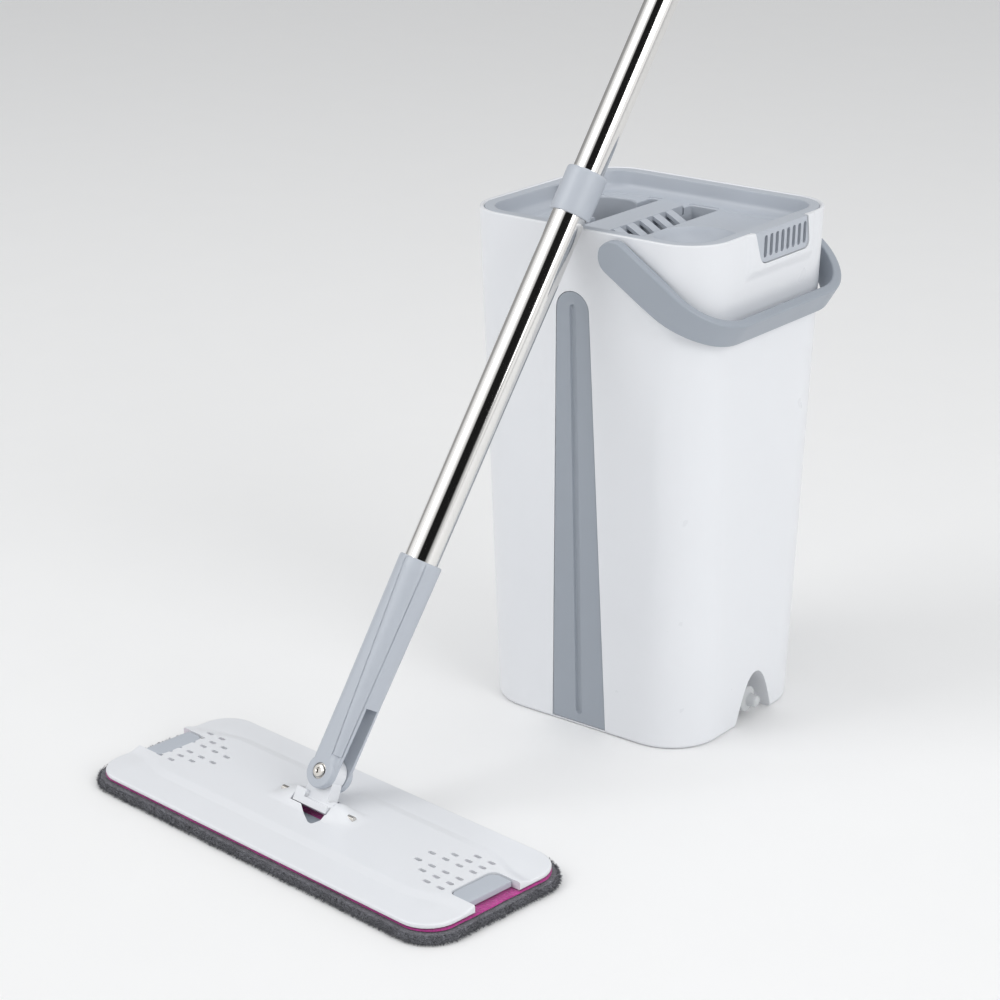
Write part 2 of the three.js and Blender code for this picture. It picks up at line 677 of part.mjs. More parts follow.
function mopPlate() {
  const atHinge = (points) => points.map(([x, y]) => [x + HINGE.x, y + HINGE.y]);
  const hubRoom = box(
    HINGE.x - HUB.half - PLAY,
    HINGE.x + HUB.half + PLAY,
    HINGE.y - HUB.r - 4,
    HINGE.y + HUB.r + 4,
    PLATE_Z - 1,
    PLATE_TOP + 20,
  );
  const axleBore = moved(
    alongX(rod(AXLE.r + GAP, -AXLE.length / 2 - GAP, AXLE.length / 2 + GAP, 20)),
    HINGE.x,
    HINGE.y,
    HINGE_Z,
  );
  const retainerSeat = box(
    HINGE.x - RETAINER.length / 2 - GAP,
    HINGE.x + RETAINER.length / 2 + GAP,
    HINGE.y - RETAINER.width / 2 - GAP,
    HINGE.y + RETAINER.width / 2 + GAP,
    PLATE_Z - 1,
    PLATE_Z + RETAINER.thick + GAP,
  );
  return cut(
    join(plateSlab(), boss(-1), boss(1)),
    hubRoom,
    axleBore,
    retainerSeat,
    ...retainerScrews(RETAINER.screwR + GAP, PLATE_Z - 1, RETAINER.screwUp + GAP),
    prism(atHinge(FRONT_POCKET), PLATE_Z - 1, PLATE_TOP + 1),
    prism(atHinge(REAR_POCKET), PLATE_TOP - REAR_POCKET_DEPTH, PLATE_TOP + 1),
    clipRecess(1),
    clipRecess(-1),
    ...perforations(),
  );
}

function retainerScrews(r, from, up) {
  return [-1, 1].map((side) =>
    moved(rod(r, from, PLATE_Z + up, 16), HINGE.x + side * RETAINER.screwX, HINGE.y + RETAINER.screwY, 0),
  );
}

function hingeRetainer() {
  const plate = box(
    HINGE.x - RETAINER.length / 2,
    HINGE.x + RETAINER.length / 2,
    HINGE.y - RETAINER.width / 2,
    HINGE.y + RETAINER.width / 2,
    PLATE_Z,
    PLATE_Z + RETAINER.thick,
  );
  const sweep = moved(
    alongX(rod(BAR_SWEEP.r, -BAR_SWEEP.half, BAR_SWEEP.half, 48)),
    HINGE.x,
    HINGE.y,
    HINGE_Z,
  );
  return cut(plate, sweep, ...retainerScrews(RETAINER.screwR + GAP, PLATE_Z - 1, RETAINER.thick + 1));
}

function retainerScrew(side) {
  return retainerScrews(RETAINER.screwR, PLATE_Z + 0.1, RETAINER.screwUp)[side < 0 ? 0 : 1];
}

function hookStrip(side) {
  const outer = side * (PLATE.length / 2 - HOOK.fromEnd - CLIP.length - 16);
  const inner = outer - side * HOOK.length * 0.72;
  const z0 = BACKING_Z + PAD.backing + 0.05;
  return box(Math.min(outer, inner), Math.max(outer, inner), -HOOK.width / 2, HOOK.width / 2, z0, z0 + HOOK.thick);
}

function clip(side) {
  const z0 = PLATE_Z + CLIP.under;
  const tab = prism(clipOutline(0), z0, z0 + CLIP.height);
  const made = cut(tab, clipPinRod(GAP));
  return side > 0 ? made : made.mirror([1, 0, 0]);
}

function clipPin(side) {
  const pin = clipPinRod(0);
  return side > 0 ? pin : pin.mirror([1, 0, 0]);
}

const tiltAxle = () => moved(alongX(rod(AXLE.r, -AXLE.length / 2, AXLE.length / 2, 20)), HINGE.x, HINGE.y, HINGE_Z);

// ---------------------------------------------------------------- yoke
// Drawn about the tilt axle, with +Z towards the pole and -Y to the front.
function swivelYoke() {
  const tongueHalf = FORK.slot / 2 - PLAY;
  const hub = alongX(rod(HUB.r, -HUB.half, HUB.half, 28));
  const tongue = moved(alongY(rod(FORK.endR - 0.8, -tongueHalf, tongueHalf)), 0, 0, HINGE.rise);
  const neckOutline = [
    [-HUB.half + 5, 0],
    [HUB.half - 5, 0],
    [FORK.endR - 2, HINGE.rise - 4],
    [-FORK.endR + 2, HINGE.rise - 4],
  ];
  const frame = new THREE.Matrix4().makeBasis(
    new THREE.Vector3(1, 0, 0),
    new THREE.Vector3(0, 0, 1),
    new THREE.Vector3(0, -1, 0),
  );
  const neck = prism(neckOutline, -tongueHalf, tongueHalf, frame);
  const bar = box(-HUB.half + 1, HUB.half - 1, -HUB.r - 2.6, -1, -3.6, 1.2);
  const block = box(-HUB.half + 1, -HUB.half + 10, -HUB.r - 2.6, 0, -1, 6);
  const screwBore = moved(alongY(rod(SCREW.r + GAP, -20, 20, 24)), 0, 0, HINGE.rise);
  const axleBore = alongX(rod(AXLE.r + GAP, -40, 40, 20));
  return cut(join(hub, tongue, neck, bar, block), screwBore, axleBore);
}

// ---------------------------------------------------------------- pole
// Drawn along +Z from the screw, with -Y to the front.
function socketSkin() {
  const section = (z, width, depth, corner) => ({ z, points: roundedPoints(width, depth, corner) });
  const sleeve = loft([
    section(0, FORK.width, FORK.depth, 5),
    section(FORK.slotTop + 4, FORK.width + 2, FORK.depth + SOCKET.swell, 8),
    section(SOCKET.top, SOCKET.width, SOCKET.depth, SOCKET.corner),
  ]);
  const end = alongY(rod(FORK.endR, -FORK.depth / 2, FORK.depth / 2));
  return join(sleeve, end);
}

// Half the socket's depth, front to back, at a height above the screw.
function socketHalfDepth(z) {
  const waist = FORK.slotTop + 4;
  const mid = FORK.depth + SOCKET.swell;
  if (z < waist) return (FORK.depth + (SOCKET.swell * z) / waist) / 2;
  return (mid + ((SOCKET.depth - mid) * (z - waist)) / (SOCKET.top - waist)) / 2;
}

// The channel in the socket's front, at one depth below its skin.
function inlayRoom(grow) {
  const [from, to] = [INLAY.from - grow, INLAY.to + grow];
  const floorAt = (z) => [-socketHalfDepth(z) + INLAY.depth + grow, z];
  const outline = [[-SOCKET.depth, from], floorAt(from), floorAt(FORK.slotTop + 4), floorAt(to), [-SOCKET.depth, to]];
  return prismAlongX(outline, INLAY.x0 - grow, INLAY.x1 + grow);
}

function handleSocket() {
  const slot = box(-FORK.width, FORK.width, -FORK.slot / 2, FORK.slot / 2, -FORK.endR - 5, FORK.slotTop);
  const bore = rod(LOWER_TUBE.r + GAP, SOCKET.boreFrom, SOCKET.top + 1);
  const screwBore = alongY(rod(SCREW.r + GAP, -20, 20, 24));
  const recess = alongY(rod(SCREW.recessR, -20, -FORK.depth / 2 + SCREW.recess, 24));
  const nutRoom = alongY(rod(SCREW.nutR + GAP, FORK.depth / 2 - SCREW.nutThick, 20, 6));
  return cut(socketSkin(), slot, bore, screwBore, recess, nutRoom, inlayRoom(GAP));
}

const socketInlay = () => socketSkin().intersect(inlayRoom(0));

function pivotScrew() {
  const face = -FORK.depth / 2 + SCREW.recess - 2 * GAP - 0.4;
  const shaft = rod(SCREW.r, face, FORK.depth / 2 - SCREW.nutThick + 0.2, 24);
  const head = turned(
    [
      [0, face - SCREW.headThick],
      [SCREW.headR - 1, face - SCREW.headThick],
      [SCREW.headR, face - SCREW.headThick + 0.8],
      [SCREW.headR, face],
      [0, face],
    ],
    24,
  );
  const recess = rod(1.5, face - SCREW.headThick - 1, face - SCREW.headThick + 0.9, 6);
  return alongY(cut(join(shaft, head), recess));
}

function pivotWasher() {
  const face = -FORK.depth / 2 + SCREW.recess - GAP;
  return alongY(ring(SCREW.recessR - GAP, SCREW.r + GAP, face - 0.4 + 0.02, face + 0.2, 24));
}

const pivotNut = () =>
  alongY(rod(SCREW.nutR, FORK.depth / 2 - SCREW.nutThick + 0.4, FORK.depth / 2 - 0.2, 6));

const lowerTube = () => ring(LOWER_TUBE.r, LOWER_TUBE.r - LOWER_TUBE.wall, SOCKET.boreFrom + GAP, LOWER_TUBE.to, 40);
const upperTube = () => ring(UPPER_TUBE.r, UPPER_TUBE.r - UPPER_TUBE.wall, UPPER_TUBE.from, UPPER_TUBE.to, 40);

// A cup that closes the upper tube's foot and steadies it in the lower tube.
function tubeGuide() {
  const inner = UPPER_TUBE.r - UPPER_TUBE.wall - GAP;
  const skirt = LOWER_TUBE.r - LOWER_TUBE.wall - 0.15;
  const top = UPPER_TUBE.from - GAP;
  return turned([
    [0, top - GUIDE.length],
    [skirt, top - GUIDE.length],
    [skirt, top],
    [inner, top],
    [inner, top + GUIDE.stem],
    [0, top + GUIDE.stem],
  ]);
}

function lockCollar() {
  const bushR = LOWER_TUBE.r + PLAY + BUSH.thick + PLAY;
  return turned(
    [
      [LOWER_TUBE.r + PLAY, COLLAR.from],
      [COLLAR.r - 0.8, COLLAR.from],
      [COLLAR.r, COLLAR.from + 0.8],
      [COLLAR.r, COLLAR.to - 1],
      [COLLAR.r - 1, COLLAR.to],
      [UPPER_TUBE.r + PLAY, COLLAR.to],
      [UPPER_TUBE.r + PLAY, COLLAR.to - COLLAR.lip],
      [Math.min(bushR, COLLAR.r - 1.2), COLLAR.to - COLLAR.lip],
      [Math.min(bushR, COLLAR.r - 1.2), LOWER_TUBE.to - 2],
      [LOWER_TUBE.r + PLAY, LOWER_TUBE.to - 2],
      [LOWER_TUBE.r + PLAY, COLLAR.from],
    ],
    40,
  );
}

function collarBush() {
  const inner = UPPER_TUBE.r + GAP;
  const outer = COLLAR.r - 1.2 - PLAY;
  return ring(outer, inner, LOWER_TUBE.to + GAP, LOWER_TUBE.to + GAP + BUSH.length, 40);
}

function grip() {
  const inner = UPPER_TUBE.r + GAP;
  const profile = [[inner, GRIP.from], [GRIP.r - 2, GRIP.from], [GRIP.r, GRIP.from + 4]];
  for (let i = 1; i < 8; i++) {
    const share = i / 8;
    profile.push([GRIP.r - GRIP.waist * Math.sin(Math.PI * share) ** 2, GRIP.from + 4 + share * (GRIP.length - 8)]);
  }
  const top = GRIP.from + GRIP.length;
  profile.push([GRIP.r, top - 4], [GRIP.r - 1.5, top], [inner, top], [inner, GRIP.from]);
  return turned(profile, 32);
}

// A plug in the tube's end that carries a rounded hanging eye.
function endCap() {
  const gripTop = GRIP.from + GRIP.length + GAP;
  const inner = UPPER_TUBE.r + GAP;
  const top = UPPER_TUBE.to + CAP.length;
  const collar = ring(GRIP.r - 1.5, inner, gripTop, UPPER_TUBE.to + 2 * GAP, 32);
  const dome = turned([
    [0, UPPER_TUBE.to + GAP],
    [GRIP.r - 1.5, UPPER_TUBE.to + GAP],
    [GRIP.r - 1.8, UPPER_TUBE.to + 12],
    [GRIP.r - 4, top - 7],
    [GRIP.r - 8, top - 2],
    [0, top],
  ]);
  const slim = box(-GRIP.r, GRIP.r, -CAP.thick / 2, CAP.thick / 2, UPPER_TUBE.to + 8, top + 1);
  const foot = rod(GRIP.r, UPPER_TUBE.to - 5, UPPER_TUBE.to + 8.5);
  const eye = moved(alongY(rod(CAP.eyeR, -20, 20, 24)), 0, 0, UPPER_TUBE.to + 19);
  return cut(join(collar, dome.intersect(join(slim, foot))), eye);
}

// ---------------------------------------------------------------- finishes
const FINISH = {
  white: { color: 0xe9ebef, roughness: 0.32, metalness: 0 },
  grey: { color: 0xa7aeb8, roughness: 0.42, metalness: 0 },
  dark: { color: 0x4c5056, roughness: 0.6, metalness: 0 },
  clear: { color: 0xdde2e6, roughness: 0.25, metalness: 0, transparent: true, opacity: 0.7 },
  steel: { color: 0xd9d6d2, roughness: 0.12, metalness: 1 },
  nickel: { color: 0xb8b4ae, roughness: 0.25, metalness: 1 },
  pile: { color: 0x55575e, roughness: 0.95, metalness: 0 },
  magenta: { color: 0xb23a8a, roughness: 0.9, metalness: 0 },
};

// ---------------------------------------------------------------- assembly
function bucketGroup() {
  const group = new THREE.Group();
  group.add(meshOf("bucket_shell", bucketShell(), FINISH.white));
  group.add(meshOf("side_strip_front", sideStrip("front"), FINISH.grey));
  group.add(meshOf("side_strip_back", sideStrip("back"), FINISH.grey));
  group.add(meshOf("top_insert", topInsert(), FINISH.grey));
  group.add(meshOf("wringer_comb", wringerComb(), FINISH.grey));
  group.add(meshOf("squeeze_blade", squeezeBlade(), FINISH.dark));
  group.add(meshOf("drain_spout", drainSpout(), FINISH.clear));
  group.add(meshOf("drain_gasket", drainGasket(), FINISH.clear));
  group.add(meshOf("drain_nut", drainNut(), FINISH.clear));
  group.add(meshOf("drain_plug", drainPlug(), FINISH.clear));
  return group;
}

function bailGroup() {
  const group = new THREE.Group();
  group.position.set(BAIL.pivotX, 0, BAIL_Z);
  const hoop = new THREE.Group();
  hoop.rotation.y = BAIL_REST;
  hoop.add(meshOf("bail_handle", bailStudHoles(bailBody()), FINISH.grey));
  hoop.add(meshOf("bail_stud_front", bailStud(-1), FINISH.grey));
  hoop.add(meshOf("bail_stud_back", bailStud(1), FINISH.grey));
  group.add(hoop);
  return group;
}

function headGroup() {
  const group = new THREE.Group();
  group.position.set(HEAD.x, HEAD.y, 0);
  group.rotation.z = HEAD.yaw;
  group.add(meshOf("mop_plate", mopPlate(), FINISH.white));
  group.add(meshOf("pad_backing", padBacking(), FINISH.magenta));
  group.add(meshOf("pad_pile", padPile(), FINISH.pile));
  group.add(meshOf("tilt_axle", tiltAxle(), FINISH.nickel));
  group.add(meshOf("hinge_retainer", hingeRetainer(), FINISH.dark));
  for (const [side, name] of [[-1, "left"], [1, "right"]]) {
    group.add(meshOf("clip_" + name, clip(side), FINISH.grey));
    group.add(meshOf("clip_pin_" + name, clipPin(side), FINISH.nickel));
    group.add(meshOf("hook_strip_" + name, hookStrip(side), FINISH.dark));
    group.add(meshOf("retainer_screw_" + name, retainerScrew(side), FINISH.nickel));
  }
  return group;
}

// How far the pole tilts back and swings sideways to rest on the bucket's near edge.
function restAngles() {
  const [s, c] = [Math.sin(HEAD.yaw), Math.cos(HEAD.yaw)];
  const reach = LOWER_TUBE.r + LEAN.gap;
  let angles = { tilt: 0.5, swing: 0 };
  for (let pass = 0; pass < 4; pass++) {
    const y = -BUCKET.top.depth / 2 - reach / Math.cos(angles.tilt);
    const [dx, dy] = [LEAN.x - HEAD.x, y - HEAD.y];
    const [x, back] = [dx * c + dy * s - HINGE.x, -dx * s + dy * c - HINGE.y];
    const up = BUCKET.height - HINGE_Z;
    angles = { tilt: Math.atan2(back, up), swing: Math.atan2(x, Math.hypot(back, up) - HINGE.rise) };
  }
  return angles;
}

function poleGroup(swing) {
  const group = new THREE.Group();
  group.position.set(0, 0, HINGE.rise);
  group.rotation.y = swing;
  group.add(meshOf("handle_socket", handleSocket(), FINISH.grey));
  group.add(meshOf("socket_inlay", socketInlay(), FINISH.grey));
  group.add(meshOf("pivot_screw", pivotScrew(), FINISH.nickel));
  group.add(meshOf("pivot_washer", pivotWasher(), FINISH.nickel));
  group.add(meshOf("pivot_nut", pivotNut(), FINISH.nickel));
  group.add(meshOf("lower_tube", lowerTube(), FINISH.steel));
  group.add(meshOf("collar_bush", collarBush(), FINISH.dark));
  group.add(meshOf("lock_collar", lockCollar(), FINISH.grey));
  group.add(meshOf("upper_tube", upperTube(), FINISH.steel));
  group.add(meshOf("tube_guide", tubeGuide(), FINISH.dark));
  group.add(meshOf("grip", grip(), FINISH.grey));
  group.add(meshOf("end_cap", endCap(), FINISH.grey));
  return group;
}

function yokeGroup() {
  const { tilt: back, swing } = restAngles();
  const group = new THREE.Group();
  group.position.set(HINGE.x, HINGE.y, HINGE_Z);
  group.rotation.x = -back;
  group.add(meshOf("swivel_yoke", swivelYoke(), FINISH.white));
  group.add(poleGroup(swing));
  return group;
}

function assembly() {
  const part = new THREE.Group();
  const head = headGroup();
  head.add(yokeGroup());
  part.add(bucketGroup(), bailGroup(), head);
  return part;
}

export default assembly();
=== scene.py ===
"""A flat mop leaning on its two-chamber squeeze bucket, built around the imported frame.

Every piece is drawn in millimetres in the frame of what carries it, and is put in place
in its mesh, in metres, when it is finished.
"""

import json
import math
from types import SimpleNamespace

import bmesh
import bpy
from bpy.props import FloatProperty, FloatVectorProperty, IntProperty, PointerProperty
from mathutils import Matrix, Vector, noise


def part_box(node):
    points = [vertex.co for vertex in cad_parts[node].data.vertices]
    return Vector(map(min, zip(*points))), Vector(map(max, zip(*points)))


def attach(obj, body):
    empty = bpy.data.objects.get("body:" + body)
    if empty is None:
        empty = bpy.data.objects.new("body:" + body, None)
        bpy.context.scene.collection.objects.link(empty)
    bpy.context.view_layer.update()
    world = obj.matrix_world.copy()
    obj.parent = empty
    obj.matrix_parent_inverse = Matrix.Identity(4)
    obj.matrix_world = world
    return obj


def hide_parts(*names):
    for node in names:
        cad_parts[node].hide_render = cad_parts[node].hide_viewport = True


bl_info = {
    "name": "Flat mop and squeeze bucket",
    "version": (1, 0, 0),
    "blender": (4, 5, 0),
    "location": "3D View > Sidebar > Mop",
    "description": "Builds the mop, its bucket and the stage around the packed frame",
    "category": "Object",
}

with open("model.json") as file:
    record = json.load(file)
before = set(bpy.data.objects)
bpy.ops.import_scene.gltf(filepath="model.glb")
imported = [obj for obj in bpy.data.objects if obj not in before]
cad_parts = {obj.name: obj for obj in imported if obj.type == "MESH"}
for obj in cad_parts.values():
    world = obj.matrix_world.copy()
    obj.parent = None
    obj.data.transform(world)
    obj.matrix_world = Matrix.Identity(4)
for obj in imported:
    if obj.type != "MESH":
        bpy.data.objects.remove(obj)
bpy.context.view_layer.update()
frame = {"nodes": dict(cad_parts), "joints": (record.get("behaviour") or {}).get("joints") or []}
JOINTS = {joint["name"]: joint for joint in frame["joints"]}
MM = 0.001
SHARP = math.radians(32)


# ---------------------------------------------------------------- sizes and colours
def length(name, description, millimetres):
    return FloatProperty(
        name=name, description=description, default=millimetres * MM, unit="LENGTH", precision=4
    )


def angle(name, description, degrees):
    return FloatProperty(
        name=name, description=description, default=math.radians(degrees), unit="ROTATION"
    )


def colour(name, description, value):
    return FloatVectorProperty(
        name=name, description=description, default=value, subtype="COLOR", size=3, min=0.0, max=1.0
    )


SHELL_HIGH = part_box("bucket_shell")[1] / MM
DRAIN_MIDDLE = sum(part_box("drain_nut"), Vector()) / 2 / MM


class TankSizes(bpy.types.PropertyGroup):
    height: length("Height", "Floor to rim", SHELL_HIGH.z)
    top_width: length("Top width", "Outside width at the rim", 2 * SHELL_HIGH.x)
    top_depth: length("Top depth", "Outside depth at the rim", 2 * SHELL_HIGH.y)
    top_corner: length("Top corner", "Corner radius at the rim", 32.9)
    base_width: length("Base width", "Outside width at the floor", 183.5)
    base_depth: length("Base depth", "Outside depth at the floor", 160.1)
    base_corner: length("Base corner", "Corner radius at the floor", 39.3)
    wall: length("Wall", "Thickness of the tank's wall", 3.0)
    floor: length("Floor", "Thickness of the tank's floor", 4.0)
    foot: length("Foot radius", "Rounding where the wall meets the floor", 3.5)
    niche_width: length("Niche width", "Drain niche at its foot", 48.0)
    niche_height: length("Niche height", "Drain niche at its crown", 37.0)
    niche_y: length("Niche place", "Middle of the drain niche", 9.0)
    niche_depth: length("Niche depth", "From the wall's foot to the niche's back", 20.0)
    lip: length("Lip", "How far the wall stands out around the pouring tongue", 1.9)
    lip_drop: length("Lip foot", "From the rim down to where the wall starts to stand out", 34.0)
    spout_hole: length("Spout hole", "Radius of the hole for the drain's spout", 9.8)


class StripSizes(bpy.types.PropertyGroup):
    top_width: length("Top width", "Width across the round head", 27.0)
    base_width: length("Base width", "Width at the foot", 46.0)
    top_x: length("Top place", "Middle of the head", -4.8)
    base_x: length("Base place", "Middle of the foot", -0.1)
    top: length("Top", "Height of the head", 325.0)
    foot: length("Foot", "Height of the foot", 3.0)
    thickness: length("Thickness", "Thickness of the strip", 2.3)
    groove: length("Groove width", "Width of the hollow down the middle", 5.4)
    groove_depth: length("Groove depth", "Depth of that hollow", 2.0)
    groove_end: length("Groove end", "From the head of the strip to the hollow", 9.0)
    setback: length("Setback", "How far the strip lies below the tank's face", 0.1)


class TraySizes(bpy.types.PropertyGroup):
    rim_drop: length("Rim drop", "From the tank's rim down to the tray's rim", 0.3)
    sink: length("Sink", "From the rim down to the tray's floor", 14.5)
    rim: length("Rim", "Width of the flat rim", 8.0)
    floor: length("Floor", "Thickness of the tray's floor", 2.5)
    skirt: length("Skirt", "Depth of the skirt inside the tank", 36.0)
    skirt_wall: length("Skirt wall", "Thickness of the skirt", 2.4)
    fillet: length("Fillet", "Hollow between the tray's wall and floor", 6.5)
    step: length("Step", "Drop from the ledge to the middle of the tray", 0.8)
    chute_x0: length("Chute left", "Left side of the squeeze chute", -11.0)
    chute_x1: length("Chute right", "Right side of the squeeze chute", 12.5)
    chute_half: length("Chute half", "Half the length of both chutes", 66.0)
    chute_depth: length("Chute depth", "Depth of the squeeze chute", 90.0)
    chute_wall: length("Chute wall", "Thickness of the chutes", 2.0)
    wash_width: length("Wash slot", "Width of the wash slot", 12.0)
    wash_depth: length("Wash depth", "Depth of the wash chute", 40.0)
    bulge_x: length("Bulge X", "Middle of the wash bulge", -63.0)
    bulge_y: length("Bulge Y", "Middle of the wash bulge", 22.0)
    bulge_rx: length("Bulge half width", "Half the bulge's width", 27.0)
    bulge_ry: length("Bulge half length", "Half the bulge's length", 33.0)
    bowl_x: length("Bowl X", "Middle of the bowl", 43.0)
    bowl_y: length("Bowl Y", "Middle of the bowl", -8.0)
    bowl_r: length("Bowl radius", "Radius of the bowl", 28.0)
    bowl_depth: length("Bowl depth", "Depth of the bowl", 12.0)
    bar_width: length("Bar width", "Width of the comb's bar", 22.5)
    bar_thick: length("Bar thickness", "Thickness of the comb's bar", 7.0)
    bar_lift: length("Bar lift", "Height of the bar above the tray", 1.2)
    bar_far: length("Bar far end", "Where the bar ends on the chute's side", 55.5)
    bar_far_out: length("Bar far corner", "Where the bar ends on the wash side", 64.5)
    tooth_run: length("Tooth run", "Level length of a tooth", 15.0)
    tooth_drop: length("Tooth drop", "Fall along a tooth", 8.3)
    tooth_thick: length("Tooth thickness", "Thickness of a tooth", 3.0)
    tooth_width: length("Tooth width", "Width of a tooth", 8.0)
    tooth_first: length("First tooth", "Middle of the nearest tooth", -58.8)
    tooth_pitch: length("Tooth pitch", "From tooth to tooth", 16.0)
    teeth: IntProperty(name="Teeth", description="Teeth on the comb", default=7, min=1)
    tongue_top0: length("Tongue top left", "Left end of the tongue at the rim", -27.0)
    tongue_top1: length("Tongue top right", "Right end of the tongue at the rim", 39.0)
    tongue_foot0: length("Tongue foot left", "Left end of the tongue's foot", -17.0)
    tongue_foot1: length("Tongue foot right", "Right end of the tongue's foot", 43.0)
    tongue_drop: length("Tongue drop", "Depth of the tongue below the rim", 23.0)
    slot_first: length("First slot", "Middle of the leftmost slot", -12.5)
    slot_pitch: length("Slot pitch", "From slot to slot", 7.1)
    slot_width: length("Slot width", "Width of a slot", 3.9)
    slot_foot: length("Slot foot", "Foot of the slots below the rim", 19.5)
    slot_length: length("Slot length", "Length of a slot", 15.5)
    slots: IntProperty(name="Slots", description="Slots in the tongue", default=8, min=1)


class BailSizes(bpy.types.PropertyGroup):
    half: length("Half width", "From the middle to an arm's inner face", 88.45)
    reach: length("Reach", "From the pivot to the bar's inner face", 84.3)
    thick: length("Thickness", "Thickness of the ribbon", 7.0)
    arm: length("Arm width", "Width of the ribbon at the pivots", 24.4)
    bar: length("Bar width", "Width of the ribbon at the bar", 19.0)
    bend: length("Bend", "Outer radius of the bends", 44.0)
    edge: length("Edge", "Rounding along the ribbon's edges", 1.5)
    hang: angle("Hang", "How far the bail hangs below level", 32.0)


class HeadSizes(bpy.types.PropertyGroup):
    pad_length: length("Pad length", "Length of the pad", 341.0)
    pad_width: length("Pad width", "Width of the pad", 133.0)
    pad_corner: length("Pad corner", "Corner radius of the pad", 27.0)
    pile: length("Pile", "Thickness of the pile", 6.4)
    backing: length("Backing", "Thickness of the backing", 1.5)
    border: length("Border", "Pile left bare around the backing", 5.4)
    tuft: length("Tuft", "Length of a tuft at the pad's edge", 2.4)
    plate_length: length("Plate length", "Length of the plate", 329.0)
    plate_width: length("Plate width", "Width of the plate", 124.0)
    plate_corner: length("Plate corner", "Corner radius of the plate", 23.0)
    plate_z: length("Plate underside", "Height of the plate's underside", 8.8)
    plate_thick: length("Plate thickness", "Thickness in the middle", 5.6)
    plate_edge: length("Plate edge", "Thickness at the border", 3.2)
    step_half: length("Step place", "From the middle to the long slopes", 33.0)
    slope: length("Slope", "Width of the long slopes", 7.0)
    hinge_x: length("Hinge X", "Middle of the hinge", -4.5)
    hinge_y: length("Hinge Y", "Middle of the hinge", 2.5)
    hump: length("Hump height", "Height of the hinge's humps above the plate", 7.6)
    hump_half: length("Hump half width", "Half the width of a hump", 11.0)
    hump_end: length("Hump end", "From the hinge's middle to a hump's end", 42.0)
    hub_half: length("Hub half", "Half the length of the yoke's hub", 17.0)
    axle_room: length("Axle room", "Height of the room that the axle and its retainer take", 7.8)
    clip_inner: length("Clip place", "From the middle to a clip's inner edge", 141.5)
    clip_length: length("Clip length", "Length of a clip", 16.5)
    clip_half: length("Clip half", "Half the width of a clip", 19.5)
    clip_y: length("Clip offset", "Middle of a clip across the plate", -1.0)
    slot_length: length("Slot length", "Length of a drain slot", 6.2)
    slot_width: length("Slot width", "Width of a drain slot", 2.9)
    slot_column: length("Outer column", "From the hinge to the outer column of slots", 138.0)
    slot_pitch_x: length("Column pitch", "From column to column", 12.3)
    slot_pitch_y: length("Row pitch", "From row to row", 8.35)
    slot_gap: length("Row gap", "From the middle to the first row", 6.1)


class PoleSizes(bpy.types.PropertyGroup):
    fork_end: length("Fork end", "Radius of the fork's end", 11.5)
    fork_width: length("Fork width", "Width of the fork", 23.0)
    fork_depth: length("Fork depth", "Depth of the fork", 22.0)
    fork_slot: length("Fork slot", "Width of the fork's slot", 10.8)
    fork_slot_top: length("Fork slot top", "Height of the slot above the screw", 50.0)
    screw_r: length("Screw", "Radius of the pivot screw's shaft", 2.6)
    screw_head: length("Screw head", "Radius of the pivot screw's head", 4.7)
    bore_foot: length("Bore foot", "Foot of the socket's bore above the screw", 64.0)
    socket_top: length("Socket top", "Height of the socket above the screw", 154.0)
    socket_width: length("Socket width", "Width of the socket's mouth", 30.0)
    socket_depth: length("Socket depth", "Depth of the socket's mouth", 29.0)
    lower_r: length("Lower tube", "Radius of the lower tube", 12.0)
    lower_to: length("Lower tube top", "Top of the lower tube", 420.0)
    upper_r: length("Upper tube", "Radius of the upper tube", 10.9)
    upper_from: length("Upper tube foot", "Foot of the upper tube", 272.0)
    upper_to: length("Upper tube top", "Top of the upper tube", 1110.0)
    wall: length("Tube wall", "Wall of both tubes", 0.85)
    collar_r: length("Collar", "Radius of the lock collar", 14.2)
    collar_from: length("Collar foot", "Foot of the lock collar", 404.5)
    collar_to: length("Collar top", "Top of the lock collar", 436.0)
    grip_r: length("Grip", "Radius of the grip", 15.2)
    grip_from: length("Grip foot", "Foot of the grip", 968.0)
    grip_length: length("Grip length", "Length of the grip", 130.0)


class Finishes(bpy.types.PropertyGroup):
    white: colour("White", "Tank and plate", (0.82, 0.835, 0.865))
    # Also used on the hinge retainer, where it is painted shade for the pocket under the hinge.
    grey: colour("Grey", "Bail and side strips", (0.345, 0.38, 0.43))
    pale_grey: colour("Pale grey", "Tray, comb, clips, collar and pole socket", (0.50, 0.535, 0.59))
    dark: colour("Dark", "Parts that don't show much", (0.075, 0.078, 0.085))
    rubber: colour("Rubber", "Squeeze blade", (0.09, 0.095, 0.105))
    clear: colour("Milky", "Drain fittings", (0.84, 0.86, 0.88))
    steel: colour("Steel", "Tubes", (0.80, 0.79, 0.775))
    nickel: colour("Nickel", "Screw and pins", (0.60, 0.58, 0.55))
    pile: colour("Pile", "Pad's pile", (0.125, 0.127, 0.145))
    backing: colour("Backing", "Pad's backing", (0.60, 0.05, 0.34))
    tape: colour("Tape", "Hook tape", (0.05, 0.05, 0.058))
    floor: colour("Floor", "Stage", (0.93, 0.93, 0.93))


GROUPS = {
    "mop_tank": TankSizes,
    "mop_strip": StripSizes,
    "mop_tray": TraySizes,
    "mop_bail": BailSizes,
    "mop_head": HeadSizes,
    "mop_pole": PoleSizes,
    "mop_finish": Finishes,
}


def sizes(name):
    """A group's sizes in millimetres, angles in radians and counts as they are."""
    group = getattr(bpy.context.scene, name)
    values = {}
    for key in GROUPS[name].__annotations__:
        value = getattr(group, key)
        is_length = group.bl_rna.properties[key].unit == "LENGTH"
        values[key] = value / MM if is_length else value
    return SimpleNamespace(**values)


